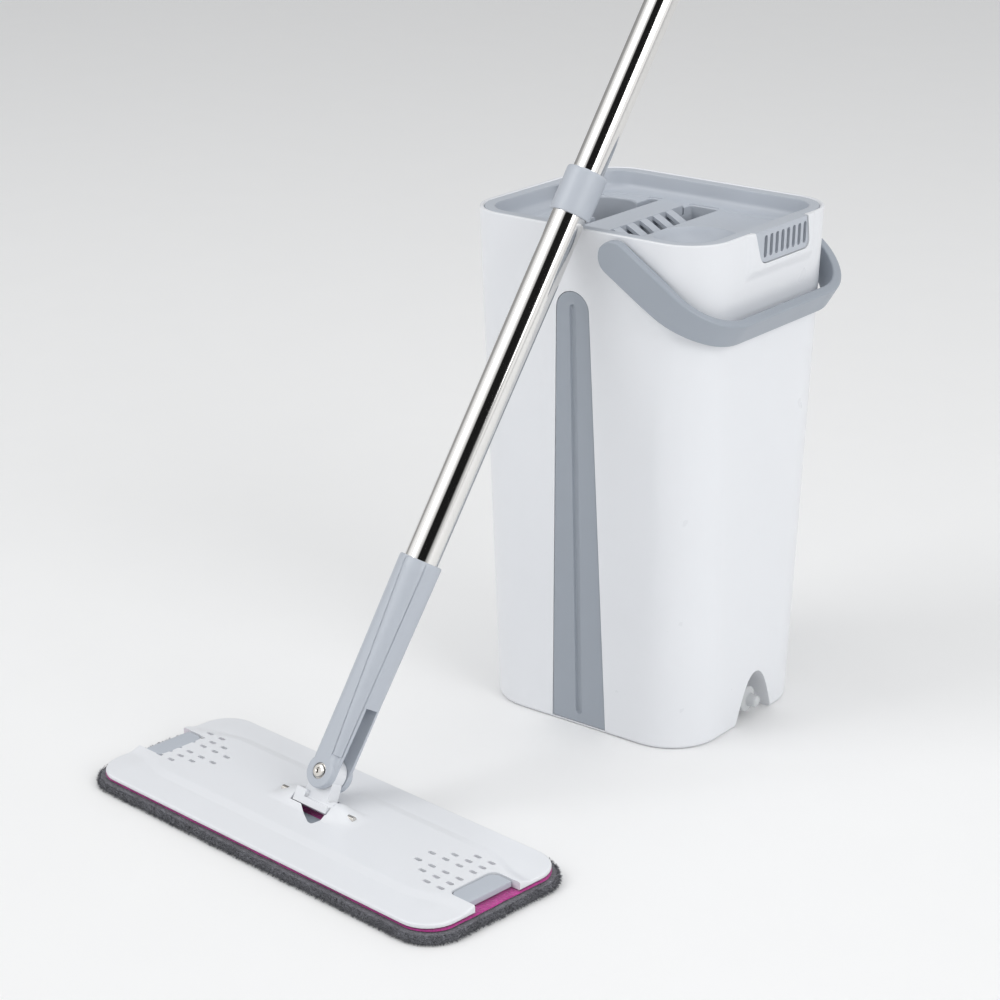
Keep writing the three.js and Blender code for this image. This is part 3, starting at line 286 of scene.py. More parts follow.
# ---------------------------------------------------------------- frames
def carrier(origin, x, y, z):
    """The matrix from a drawing in millimetres to its place in metres."""
    turn = Matrix((x, y, z)).transposed().to_4x4()
    return Matrix.Translation(origin) @ turn @ Matrix.Scale(MM, 4)


UP = Vector((0, 0, 1))
BUCKET = Matrix.Scale(MM, 4)
TILT_AXIS = Vector(JOINTS["yoke_tilt"]["axis"]).normalized()
SWING_AXIS = Vector(JOINTS["pole_swing"]["axis"]).normalized()
POLE_AXIS = Vector(JOINTS["pole_extend"]["axis"]).normalized()
PAD_LOW, PAD_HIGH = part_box("pad_pile")
HEAD = carrier(
    ((PAD_LOW.x + PAD_HIGH.x) / 2, (PAD_LOW.y + PAD_HIGH.y) / 2, 0), TILT_AXIS, UP.cross(TILT_AXIS), UP
)
POLE = carrier(JOINTS["pole_swing"]["pos_m"], SWING_AXIS.cross(POLE_AXIS), SWING_AXIS, POLE_AXIS)


def bail_carrier(hang):
    along = Vector((math.cos(hang), 0, -math.sin(hang)))
    side = Vector((0, 1, 0))
    return carrier(JOINTS["bail_swing"]["pos_m"], along, side, along.cross(side))


def face_carrier(tank, facing):
    """A frame on the sloping long face: across, up the face, outward. Facing is -1 at the front."""
    slope = math.atan((tank.top_depth - tank.base_depth) / 2 / tank.height)
    s, c = math.sin(slope), math.cos(slope)
    across = Vector((-facing, 0, 0))
    up = Vector((0, facing * s, c))
    origin = Vector((0, facing * tank.base_depth / 2 * MM, 0))
    return carrier(origin, across, up, across.cross(up))


# ---------------------------------------------------------------- mesh helpers
def blend(a, b, share):
    return a + (b - a) * share


def smooth(low, high, value):
    t = min(max((value - low) / (high - low), 0.0), 1.0)
    return t * t * (3 - 2 * t)


def piece_of(name, points, faces):
    mesh = bpy.data.meshes.new(name)
    mesh.from_pydata([tuple(p) for p in points], [], faces)
    mesh.update()
    piece = bpy.data.objects.new(name, mesh)
    bpy.context.scene.collection.objects.link(piece)
    return piece


def skin(name, rings, seam=None):
    """A closed skin over rings of equally many points, with a face over each end.

    A seam is a pair of places in a ring. The last end is then closed by a strip of faces
    that joins the ring's long sides between them.
    """
    count = len(rings[0])
    points = [p for ring in rings for p in ring]
    faces = []
    for r in range(len(rings) - 1):
        for i in range(count):
            a, b = r * count + i, r * count + (i + 1) % count
            faces.append((a, b, b + count, a + count))
    faces.append(tuple(reversed(range(count))))
    last = (len(rings) - 1) * count
    if seam is None:
        faces.append(tuple(range(last, last + count)))
        return piece_of(name, points, faces)
    turn, back = seam
    for i in range(turn):
        faces.append((last + i, last + i + 1, last + back - i - 1, last + back - i))
    faces.append(tuple(last + i for i in range(turn, back - turn + 1)))
    faces.append((last,) + tuple(last + i for i in range(back, count)))
    return piece_of(name, points, faces)


def rounded(width, depth, corner, arc=10, run_x=1, run_y=1, x=0.0):
    """Points anticlockwise around a rectangle with round corners, its middle at x."""
    corner = min(corner, width / 2 - 0.01, depth / 2 - 0.01)
    points = []
    for quarter, (sx, sy) in enumerate(((1, 1), (-1, 1), (-1, -1), (1, -1))):
        cx, cy = x + sx * (width / 2 - corner), sy * (depth / 2 - corner)
        for i in range(arc + 1):
            a = (quarter + i / arc) * math.pi / 2
            points.append((cx + corner * math.cos(a), cy + corner * math.sin(a)))
        nx, ny = ((-1, 1), (-1, -1), (1, -1), (1, 1))[quarter]
        ex, ey = x + nx * (width / 2 - corner), ny * (depth / 2 - corner)
        a = (quarter + 1) * math.pi / 2
        end = (ex + corner * math.cos(a), ey + corner * math.sin(a))
        start = points[-1]
        runs = run_x if quarter % 2 == 0 else run_y
        for i in range(1, runs):
            points.append((blend(start[0], end[0], i / runs), blend(start[1], end[1], i / runs)))
    return points


def at_height(points, z):
    return [(px, py, z) for px, py in points]


def filleted(corners, radius, steps=5):
    """A polygon with its corners rounded; radius is one value or one for each corner."""
    count = len(corners)
    radii = radius if isinstance(radius, (list, tuple)) else [radius] * count
    points = []
    for i, corner in enumerate(corners):
        here = Vector(corner)
        back = Vector(corners[i - 1]) - here
        on = Vector(corners[(i + 1) % count]) - here
        r = min(radii[i], back.length * 0.48, on.length * 0.48)
        if r <= 0:
            points.append(tuple(here))
            continue
        a, b = here + back.normalized() * r, here + on.normalized() * r
        for s in range(steps + 1):
            t = s / steps
            points.append(tuple(a * (1 - t) ** 2 + here * 2 * t * (1 - t) + b * t * t))
    return points


def prism(name, outline, z0, z1):
    return skin(name, [at_height(outline, z0), at_height(outline, z1)])


def box(name, x0, x1, y0, y1, z0, z1):
    return prism(name, [(x0, y0), (x1, y0), (x1, y1), (x0, y1)], z0, z1)


def turned(name, profile, sides=64):
    """A closed round body about Z. The profile runs from the axis to the axis, or closes on itself."""
    points, faces = [], []
    solid = profile[0][0] == 0
    body = profile[1:-1] if solid else profile
    for r, z in body:
        for i in range(sides):
            a = 2 * math.pi * i / sides
            points.append((r * math.cos(a), r * math.sin(a), z))
    rows = len(body)
    for row in range(rows - 1 if solid else rows):
        for i in range(sides):
            a, b = row * sides + i, row * sides + (i + 1) % sides
            c, d = (b + sides) % (rows * sides), (a + sides) % (rows * sides)
            faces.append((a, b, c, d))
    if solid:
        low = len(points)
        points += [(0, 0, profile[0][1]), (0, 0, profile[-1][1])]
        for i in range(sides):
            faces.append((low, (i + 1) % sides, i))
            faces.append((low + 1, (rows - 1) * sides + i, (rows - 1) * sides + (i + 1) % sides))
    return piece_of(name, points, faces)


ALONG_X = Matrix(((0, 0, 1, 0), (1, 0, 0, 0), (0, 1, 0, 0), (0, 0, 0, 1)))
ALONG_Y = Matrix(((1, 0, 0, 0), (0, 0, 1, 0), (0, -1, 0, 0), (0, 0, 0, 1)))


def shift(piece, matrix=None, by=(0, 0, 0)):
    piece.data.transform(Matrix.Translation(by) @ (matrix or Matrix.Identity(4)))
    return piece


def freeze(piece):
    """Makes what the modifiers give the piece's own mesh."""
    bpy.context.view_layer.update()
    seen = piece.evaluated_get(bpy.context.evaluated_depsgraph_get())
    made = bpy.data.meshes.new_from_object(seen)
    piece.modifiers.clear()
    old, piece.data = piece.data, made
    bpy.data.meshes.remove(old)
    return piece


def discard(*pieces):
    for piece in pieces:
        mesh = piece.data
        bpy.data.objects.remove(piece)
        bpy.data.meshes.remove(mesh)


def outward(piece):
    """Merges doubles and turns the faces outwards."""
    bm = bmesh.new()
    bm.from_mesh(piece.data)
    bmesh.ops.remove_doubles(bm, verts=bm.verts, dist=1e-4)
    bmesh.ops.recalc_face_normals(bm, faces=bm.faces)
    if bm.calc_volume(signed=True) < 0:
        bmesh.ops.reverse_faces(bm, faces=bm.faces)
    bm.to_mesh(piece.data)
    bm.free()
    return piece


def carve(piece, *tools, how="DIFFERENCE"):
    outward(piece)
    for tool in tools:
        outward(tool)
        cutter = piece.modifiers.new(how, "BOOLEAN")
        cutter.operation, cutter.solver, cutter.object = how, "EXACT", tool
    freeze(piece)
    discard(*tools)
    return piece


def fuse(piece, *others):
    return carve(piece, *others, how="UNION")


def tidy_faces(piece):
    bm = bmesh.new()
    bm.from_mesh(piece.data)
    bmesh.ops.remove_doubles(bm, verts=bm.verts, dist=0.01)
    bmesh.ops.dissolve_limit(bm, angle_limit=math.radians(0.4), verts=bm.verts, edges=bm.edges)
    bm.to_mesh(piece.data)
    bm.free()
    return piece


def soften(piece, width, segments=2):
    """Rounds the sharp edges by a small bevel."""
    tidy_faces(piece)
    bevel = piece.modifiers.new("edges", "BEVEL")
    bevel.width, bevel.segments = width, segments
    bevel.limit_method, bevel.angle_limit = "ANGLE", SHARP
    return freeze(piece)


def shade(piece):
    """Smooth shading that keeps flat faces flat and sharp edges sharp."""
    piece.data.shade_smooth()
    piece.data.set_sharp_from_angle(angle=SHARP)
    normals = piece.modifiers.new("normals", "WEIGHTED_NORMAL")
    normals.keep_sharp = True
    return freeze(piece)


def settle(piece, place, body, slot, material, *nodes):
    """Puts a finished piece in its place, on its body and in its finish."""
    shade(outward(piece))
    piece.data.transform(place)
    piece.data.materials.clear()
    piece.data.materials.append(material)
    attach(piece, body)
    if nodes:
        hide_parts(*nodes)
    return piece


def from_node(name, node, edge):
    """A merged copy of a CAD node in millimetres, with its edges rounded."""
    mesh = frame["nodes"][node].data.copy()
    mesh.name = name
    mesh.transform(Matrix.Scale(1 / MM, 4))
    copy = bpy.data.objects.new(name, mesh)
    bpy.context.scene.collection.objects.link(copy)
    return soften(outward(copy), edge)


# ---------------------------------------------------------------- node helpers
def node(tree, kind, feeds=None, **settings):
    made = tree.nodes.new(kind)
    for key, value in settings.items():
        setattr(made, key, value)
    for key, value in (feeds or {}).items():
        socket = made.inputs[key]
        if isinstance(value, bpy.types.NodeSocket):
            tree.links.new(value, socket)
        else:
            socket.default_value = value
    return made


def open_tree(name, kind, inputs, outputs):
    tree = bpy.data.node_groups.new(name, kind)
    for label, socket, value in inputs:
        made = tree.interface.new_socket(label, in_out="INPUT", socket_type=socket)
        if value is not None:
            made.default_value = value
    for label, socket in outputs:
        tree.interface.new_socket(label, in_out="OUTPUT", socket_type=socket)
    return tree, tree.nodes.new("NodeGroupInput").outputs, tree.nodes.new("NodeGroupOutput").inputs


GEOMETRY = [("Geometry", "NodeSocketGeometry", None)]
NUMBER = "NodeSocketFloat"


def geometry_tree(name, inputs):
    full = GEOMETRY + inputs + [("Material", "NodeSocketMaterial", None)]
    return open_tree(name, "GeometryNodeTree", full, [("Geometry", "NodeSocketGeometry")])


def close_tree(tree, source, given, result):
    plain = node(tree, "GeometryNodeRealizeInstances", {0: source}).outputs[0]
    done = node(tree, "GeometryNodeSetMaterial", {"Geometry": plain, "Material": given["Material"]})
    tree.links.new(done.outputs[0], result[0])
    return tree


def grown(name, start, tree, material, **values):
    """What a geometry tree makes of a seed piece, as a plain mesh."""
    maker = start.modifiers.new(tree.name, "NODES")
    maker.node_group = tree
    wanted = {key.replace("_", " "): value for key, value in values.items()}
    wanted["material"] = material
    for item in tree.interface.items_tree:
        if item.in_out == "INPUT" and item.name.lower() in wanted:
            maker[item.identifier] = wanted[item.name.lower()]
    freeze(start)
    start.name = name
    return start


def slots_tree():
    """Round-ended slots, one standing on each point of the seed."""
    inputs = [("Length", NUMBER, 5.0), ("Width", NUMBER, 2.0), ("Depth", NUMBER, 10.0)]
    tree, given, result = geometry_tree("slots", inputs)
    box_curve = node(
        tree,
        "GeometryNodeCurvePrimitiveQuadrilateral",
        {"Width": given["Length"], "Height": given["Width"]},
    )
    narrow = node(tree, "ShaderNodeMath", {0: given["Width"], 1: given["Length"]}, operation="MINIMUM")
    end = node(tree, "ShaderNodeMath", {0: narrow.outputs[0], 1: 0.49}, operation="MULTIPLY")
    round_ends = node(
        tree,
        "GeometryNodeFilletCurve",
        {"Curve": box_curve.outputs[0], "Count": 5, "Radius": end.outputs[0]},
        mode="POLY",
    )
    face = node(tree, "GeometryNodeFillCurve", {"Curve": round_ends.outputs[0]}, mode="NGONS").outputs[0]
    rise = node(tree, "ShaderNodeCombineXYZ", {"Z": given["Depth"]})
    walls = node(
        tree,
        "GeometryNodeExtrudeMesh",
        {"Mesh": face, "Offset": rise.outputs[0], "Offset Scale": 1.0},
    )
    under = node(tree, "GeometryNodeFlipFaces", {"Mesh": face})
    both = node(tree, "GeometryNodeJoinGeometry", {0: walls.outputs[0]})
    tree.links.new(under.outputs[0], both.inputs[0])
    closed = node(tree, "GeometryNodeMergeByDistance", {"Geometry": both.outputs[0]})
    stood = node(
        tree, "GeometryNodeInstanceOnPoints", {"Points": given["Geometry"], "Instance": closed.outputs[0]}
    )
    return close_tree(tree, stood.outputs[0], given, result)


def teeth_tree():
    """A row of sloping teeth along Y."""
    inputs = [
        ("Count", "NodeSocketInt", 8), ("Pitch", NUMBER, 16.0), ("Width", NUMBER, 6.0),
        ("Run", NUMBER, 15.0), ("Drop", NUMBER, 8.0), ("Thickness", NUMBER, 3.0),
    ]
    tree, given, result = geometry_tree("teeth", inputs)
    size = node(
        tree, "ShaderNodeCombineXYZ", {"X": given["Run"], "Y": given["Width"], "Z": given["Thickness"]}
    )
    block = node(
        tree,
        "GeometryNodeMeshCube",
        {"Size": size.outputs[0], "Vertices X": 7, "Vertices Y": 2, "Vertices Z": 2},
    )
    along = node(tree, "ShaderNodeSeparateXYZ", {0: node(tree, "GeometryNodeInputPosition").outputs[0]})
    share = node(tree, "ShaderNodeMath", {0: along.outputs["X"], 1: given["Run"]}, operation="DIVIDE")
    past = node(tree, "ShaderNodeMath", {0: share.outputs[0], 1: 0.5}, operation="ADD")
    eased = node(tree, "ShaderNodeMath", {0: past.outputs[0], 1: 1.15}, operation="POWER")
    fall = node(tree, "ShaderNodeMath", {0: eased.outputs[0], 1: given["Drop"]}, operation="MULTIPLY")
    down = node(tree, "ShaderNodeMath", {0: fall.outputs[0], 1: -1.0}, operation="MULTIPLY")
    offset = node(tree, "ShaderNodeCombineXYZ", {"Z": down.outputs[0]})
    bent = node(
        tree, "GeometryNodeSetPosition", {"Geometry": block.outputs[0], "Offset": offset.outputs[0]}
    )
    stride = node(tree, "ShaderNodeCombineXYZ", {"Y": given["Pitch"]})
    row = node(tree, "GeometryNodeMeshLine", {"Count": given["Count"], "Offset": stride.outputs[0]})
    stood = node(
        tree, "GeometryNodeInstanceOnPoints", {"Points": row.outputs[0], "Instance": bent.outputs[0]}
    )
    return close_tree(tree, stood.outputs[0], given, result)


def ribs_tree():
    """Straight ribs standing around a circle about Z."""
    inputs = [
        ("Count", "NodeSocketInt", 24), ("Radius", NUMBER, 11.0),
        ("Rib", NUMBER, 0.8), ("Height", NUMBER, 5.0),
    ]
    tree, given, result = geometry_tree("ribs", inputs)
    circle = node(tree, "GeometryNodeMeshCircle", {"Vertices": given["Count"], "Radius": given["Radius"]})
    rib = node(
        tree,
        "GeometryNodeMeshCylinder",
        {"Vertices": 8, "Radius": given["Rib"], "Depth": given["Height"]},
    )
    stood = node(
        tree, "GeometryNodeInstanceOnPoints", {"Points": circle.outputs[0], "Instance": rib.outputs[0]}
    )
    return close_tree(tree, stood.outputs[0], given, result)


def rings_tree():
    """Round beads around Z, one above another."""
    inputs = [
        ("Count", "NodeSocketInt", 12), ("Pitch", NUMBER, 8.0),
        ("Radius", NUMBER, 15.0), ("Bead", NUMBER, 0.7),
    ]
    tree, given, result = geometry_tree("rings", inputs)
    hoop = node(tree, "GeometryNodeCurvePrimitiveCircle", {"Resolution": 48, "Radius": given["Radius"]})
    section = node(tree, "GeometryNodeCurvePrimitiveCircle", {"Resolution": 8, "Radius": given["Bead"]})
    bead = node(
        tree, "GeometryNodeCurveToMesh", {"Curve": hoop.outputs[0], "Profile Curve": section.outputs[0]}
    )
    stride = node(tree, "ShaderNodeCombineXYZ", {"Z": given["Pitch"]})
    row = node(tree, "GeometryNodeMeshLine", {"Count": given["Count"], "Offset": stride.outputs[0]})
    stood = node(
        tree, "GeometryNodeInstanceOnPoints", {"Points": row.outputs[0], "Instance": bead.outputs[0]}
    )
    return close_tree(tree, stood.outputs[0], given, result)


def tufts_tree():
    """Short tapered tufts scattered over the seed's faces, leaning a little every way."""
    inputs = [
        ("Density", NUMBER, 0.9), ("Length", NUMBER, 3.0), ("Thickness", NUMBER, 0.35),
        ("Lean", NUMBER, 0.45), ("Seed", "NodeSocketInt", 4),
    ]
    tree, given, result = geometry_tree("tufts", inputs)
    spread = node(
        tree,
        "GeometryNodeDistributePointsOnFaces",
        {"Mesh": given["Geometry"], "Density": given["Density"], "Seed": given["Seed"]},
        distribute_method="RANDOM",
    )
    less = node(tree, "ShaderNodeMath", {0: given["Lean"], 1: -1.0}, operation="MULTIPLY")
    lean = node(
        tree,
        "FunctionNodeRandomValue",
        {0: less.outputs[0], 1: given["Lean"], 8: given["Seed"]},
        data_type="FLOAT_VECTOR",
    )
    way = node(
        tree, "ShaderNodeVectorMath", {0: spread.outputs["Normal"], 1: lean.outputs[0]}, operation="ADD"
    )
    turn = node(tree, "FunctionNodeAlignRotationToVector", {"Vector": way.outputs[0]}, axis="Z")
    tuft = node(
        tree,
        "GeometryNodeMeshCone",
        {
            "Vertices": 5,
            "Radius Top": 0.08,
            "Radius Bottom": given["Thickness"],
            "Depth": given["Length"],
        },
    )
    size = node(tree, "FunctionNodeRandomValue", {2: 0.55, 3: 1.1}, data_type="FLOAT")
    stood = node(
        tree,
        "GeometryNodeInstanceOnPoints",
        {
            "Points": spread.outputs["Points"],
            "Instance": tuft.outputs[0],
            "Rotation": turn.outputs[0],
            "Scale": size.outputs[1],
        },
    )
    return close_tree(tree, stood.outputs[0], given, result)


# ---------------------------------------------------------------- material groups
COLOUR = "NodeSocketColor"


def object_coordinates(tree, scale=(1, 1, 1), turn=(0, 0, 0)):
    place = node(tree, "ShaderNodeTexCoord").outputs["Object"]
    return node(tree, "ShaderNodeMapping", {"Vector": place, "Scale": scale, "Rotation": turn}).outputs[0]


def moulded_group():
    """Moulded plastic: faint cloudiness, fine spark-eroded grain and handled, shinier patches."""
    inputs = [
        ("Colour", COLOUR, (0.5, 0.5, 0.5, 1)), ("Deeper", COLOUR, (0.4, 0.4, 0.4, 1)),
        ("Grain", NUMBER, 2600.0), ("Roughness", NUMBER, 0.35), ("Spread", NUMBER, 0.12),
    ]
    outputs = [("Colour", COLOUR), ("Roughness", NUMBER), ("Height", NUMBER)]
    tree, given, result = open_tree("moulded_surface", "ShaderNodeTree", inputs, outputs)
    place = object_coordinates(tree)
    cloud = node(tree, "ShaderNodeTexNoise", {"Vector": place, "Scale": 14.0, "Detail": 4.0})
    mixed = node(
        tree,
        "ShaderNodeMix",
        {0: cloud.outputs[0], "A": given["Colour"], "B": given["Deeper"]},
        data_type="RGBA",
    )
    grain = node(tree, "ShaderNodeTexNoise", {"Vector": place, "Scale": given["Grain"], "Detail": 2.0})
    patches = node(tree, "ShaderNodeTexNoise", {"Vector": place, "Scale": 38.0, "Detail": 6.0})
    centred = node(tree, "ShaderNodeMath", {0: patches.outputs[0], 1: 0.5}, operation="SUBTRACT")
    rough = node(
        tree,
        "ShaderNodeMath",
        {0: centred.outputs[0], 1: given["Spread"], 2: given["Roughness"]},
        operation="MULTIPLY_ADD",
    )
    tree.links.new(mixed.outputs["Result"], result["Colour"])
    tree.links.new(rough.outputs[0], result["Roughness"])
    tree.links.new(grain.outputs[0], result["Height"])
    return tree


def scuff_group():
    """Fine straight scuffs along one way, as wiping leaves them."""
    inputs = [("Along", "NodeSocketVector", (0, 0, 0)), ("Fineness", NUMBER, 900.0)]
    tree, given, result = open_tree("scuffs", "ShaderNodeTree", inputs, [("Mask", NUMBER)])
    lines = node(
        tree, "ShaderNodeTexNoise", {"Vector": given["Along"], "Scale": given["Fineness"], "Detail": 3.0}
    )
    few = node(tree, "ShaderNodeMapRange", {"Value": lines.outputs[0], "From Min": 0.55, "From Max": 0.8})
    tree.links.new(few.outputs[0], result["Mask"])
    return tree


def fibre_group():
    """Packed fibres: threads of two tones with a rounded relief."""
    inputs = [
        ("Colour", COLOUR, (0.1, 0.1, 0.1, 1)), ("Lighter", COLOUR, (0.2, 0.2, 0.2, 1)),
        ("Thread", NUMBER, 900.0), ("Place", "NodeSocketVector", (0, 0, 0)),
    ]
    outputs = [("Colour", COLOUR), ("Height", NUMBER)]
    tree, given, result = open_tree("packed_fibre", "ShaderNodeTree", inputs, outputs)
    cells = node(tree, "ShaderNodeTexVoronoi", {"Vector": given["Place"], "Scale": given["Thread"]})
    tone = node(tree, "ShaderNodeTexNoise", {"Vector": given["Place"], "Scale": 160.0, "Detail": 5.0})
    worn = node(
        tree, "ShaderNodeMath", {0: cells.outputs["Distance"], 1: tone.outputs[0]}, operation="MULTIPLY"
    )
    mixed = node(
        tree,
        "ShaderNodeMix",
        {0: worn.outputs[0], "A": given["Colour"], "B": given["Lighter"]},
        data_type="RGBA",
    )
    relief = node(tree, "ShaderNodeMath", {0: 1.0, 1: cells.outputs["Distance"]}, operation="SUBTRACT")
    tree.links.new(mixed.outputs["Result"], result["Colour"])
    tree.links.new(relief.outputs[0], result["Height"])
    return tree


def blank(name, **values):
    """A material with its Principled shader's plain values set."""
    material = bpy.data.materials.new(name)
    material.use_nodes = True
    shader = material.node_tree.nodes["Principled BSDF"]
    for key, value in values.items():
        shader.inputs[key.replace("_", " ")].default_value = value
    return material, shader


def relief(material, shader, height, distance):
    """Bumps a material's surface by a height that varies over it."""
    bump = node(material.node_tree, "ShaderNodeBump", {"Height": height, "Distance": distance})
    material.node_tree.links.new(bump.outputs[0], shader.inputs["Normal"])


def opaque(rgb, share=1.0):
    return (rgb[0] * share, rgb[1] * share, rgb[2] * share, 1.0)


def plastic(name, rgb, roughness, grain, depth, deeper, **values):
    """Moulded plastic; deeper is the share of its colour in the darker clouds."""
    material, shader = blank(name, **values)
    surface = node(
        material.node_tree,
        "ShaderNodeGroup",
        {"Colour": opaque(rgb), "Deeper": opaque(rgb, deeper), "Grain": grain, "Roughness": roughness},
        node_tree=MADE["moulded"],
    )
    links = material.node_tree.links
    links.new(surface.outputs["Colour"], shader.inputs["Base Color"])
    links.new(surface.outputs["Roughness"], shader.inputs["Roughness"])
    relief(material, shader, surface.outputs["Height"], depth)
    return material


def metal(name, rgb, roughness, place_turn):
    """Polished metal with fine wiping marks along the piece."""
    material, shader = blank(name, Metallic=1.0)
    tree = material.node_tree
    along = object_coordinates(tree, (1.0, 1.0, 0.02), place_turn)
    scuffs = node(
        tree, "ShaderNodeGroup", {"Along": along, "Fineness": 1400.0}, node_tree=MADE["scuffs"]
    )
    tint = node(
        tree,
        "ShaderNodeMix",
        {0: scuffs.outputs[0], "A": opaque(rgb), "B": opaque(rgb, 0.9)},
        data_type="RGBA",
    )
    dull = node(
        tree, "ShaderNodeMath", {0: scuffs.outputs[0], 1: 0.10, 2: roughness}, operation="MULTIPLY_ADD"
    )
    tree.links.new(tint.outputs["Result"], shader.inputs["Base Color"])
    tree.links.new(dull.outputs[0], shader.inputs["Roughness"])
    return material


def fabric(name, rgb, lighter, thread, depth, **values):
    """Matt fibres; lighter is the share of the colour at the tips of the threads."""
    material, shader = blank(name, Roughness=0.95, **values)
    place = object_coordinates(material.node_tree)
    fibre = node(
        material.node_tree,
        "ShaderNodeGroup",
        {"Colour": opaque(rgb, 0.55), "Lighter": opaque(rgb, lighter), "Thread": thread, "Place": place},
        node_tree=MADE["fibre"],
    )
    material.node_tree.links.new(fibre.outputs["Colour"], shader.inputs["Base Color"])
    relief(material, shader, fibre.outputs["Height"], depth)
    return material


MADE = {}


def make_finishes():
    """Makes every tree, group and material once, under a short name."""
    tone = bpy.context.scene.mop_finish
    MADE.update(moulded=moulded_group(), scuffs=scuff_group(), fibre=fibre_group())
    MADE.update(slots=slots_tree(), teeth=teeth_tree(), ribs=ribs_tree())
    MADE.update(rings=rings_tree(), tufts=tufts_tree())
    pole_turn = POLE_AXIS.rotation_difference(UP).to_euler()
    MADE["white"] = plastic(
        "white plastic", tone.white, 0.30, 1500.0, 0.00002, 0.975, Coat_Weight=0.25, Coat_Roughness=0.18
    )
    MADE["grey"] = plastic("grey plastic", tone.grey, 0.42, 2200.0, 0.00005, 0.95)
    MADE["pale"] = plastic("pale grey plastic", tone.pale_grey, 0.36, 2000.0, 0.00004, 0.95)
    MADE["dark"] = plastic("dark plastic", tone.dark, 0.5, 2200.0, 0.00006, 0.85)
    MADE["rubber"] = plastic("blade rubber", tone.rubber, 0.6, 1200.0, 0.00005, 0.85)
    MADE["clear"] = plastic(
        "milky plastic", tone.clear, 0.24, 900.0, 0.00003, 0.96, Transmission_Weight=0.35, IOR=1.46
    )
    MADE["steel"] = metal("polished steel", tone.steel, 0.07, pole_turn)
    MADE["nickel"] = metal("nickel plate", tone.nickel, 0.2, pole_turn)
    MADE["pile"] = fabric("cut pile", tone.pile, 2.6, 1100.0, 0.0008, Sheen_Weight=0.25)
    MADE["backing"] = fabric("brushed backing", tone.backing, 1.3, 700.0, 0.0005, Sheen_Weight=0.3)
    MADE["tape"] = fabric("hook tape", tone.tape, 2.0, 600.0, 0.0006)


# ---------------------------------------------------------------- tank
def tank_ring(t, z, inset=0.0, grow=0.0):
    """The tank's outline at a height; it grows outwards around the pouring tongue."""
    share = z / t.height
    width = blend(t.base_width, t.top_width, share) - 2 * inset
    depth = blend(t.base_depth, t.top_depth, share) - 2 * inset
    corner = blend(t.base_corner, t.top_corner, share) - inset
    ring = rounded(width, depth, max(corner, 3.0), arc=12, run_x=24, run_y=72)
    return [(x + grow * tongue_frame(y, z, t) * (x > 0.4 * width), y, z) for x, y in ring]


def tongue_frame(y, z, t):
    """1 on the part of the narrow wall that frames the tongue, falling softly to 0 around it."""
    tray = sizes("mop_tray")
    left = smooth(tray.tongue_top0 - 8.0, tray.tongue_top0 - 4.0, y)
    right = 1 - smooth(tray.tongue_foot1 + 4.0, tray.tongue_foot1 + 8.0, y)
    low = smooth(t.height - tray.tongue_drop - 8.0, t.height - tray.tongue_drop - 4.0, z)
    return left * right * low


def tongue_outline(tray, height, grow=0.0):
    foot, top = height - tray.tongue_drop - grow, height + 1.0
    corners = [
        (tray.tongue_foot0 - grow, foot), (tray.tongue_foot1 + grow, foot),
        (tray.tongue_top1 + grow, top), (tray.tongue_top0 - grow, top),
    ]
    return filleted(corners, [7, 7, 0, 0], 7)


def across(name, outline, x0, x1):
    """A prism drawn in (Y, Z) that runs along X."""
    return shift(prism(name, outline, x0, x1), ALONG_X)


def niche_outline(t, grow=0.0):
    half, top = t.niche_width / 2 + grow, t.niche_height + grow
    side = []
    for i in range(17):
        s = i / 16
        a, b, c, d = (1 - s) ** 3, 3 * s * (1 - s) ** 2, 3 * s * s * (1 - s), s**3
        side.append((half * (a + 0.72 * b + 0.5 * c), t.niche_height * 0.45 * b + top * (c + d)))
    right = [(t.niche_y + x, z) for x, z in side]
    left = [(t.niche_y - x, z) for x, z in side[-2::-1]]
    return [(t.niche_y - half, -5.0), (t.niche_y + half, -5.0)] + right + left


def strip_outline(s, grow=0.0):
    r = s.top_width / 2 + grow
    middle = s.top - s.top_width / 2
    half = s.base_width / 2 + grow
    points = [(s.base_x - half, s.foot - grow), (s.base_x + half, s.foot - grow)]
    for i in range(25):
        a = math.pi * i / 24
        points.append((s.top_x + r * math.cos(a), middle + r * math.sin(a)))
    return points


def groove_outline(s, half):
    """A long outline with round ends down the middle of a side strip."""
    foot = Vector((s.base_x, s.foot + 9.0))
    head = Vector((s.top_x, s.top - s.groove_end - s.groove / 2))
    run = (head - foot).normalized()
    points = []
    for end, start in ((head, 0), (foot, math.pi)):
        for i in range(9):
            a = start + math.pi * i / 8
            points.append(tuple(end + half * (run * math.sin(a) + Vector((run.y, -run.x)) * math.cos(a))))
    return points


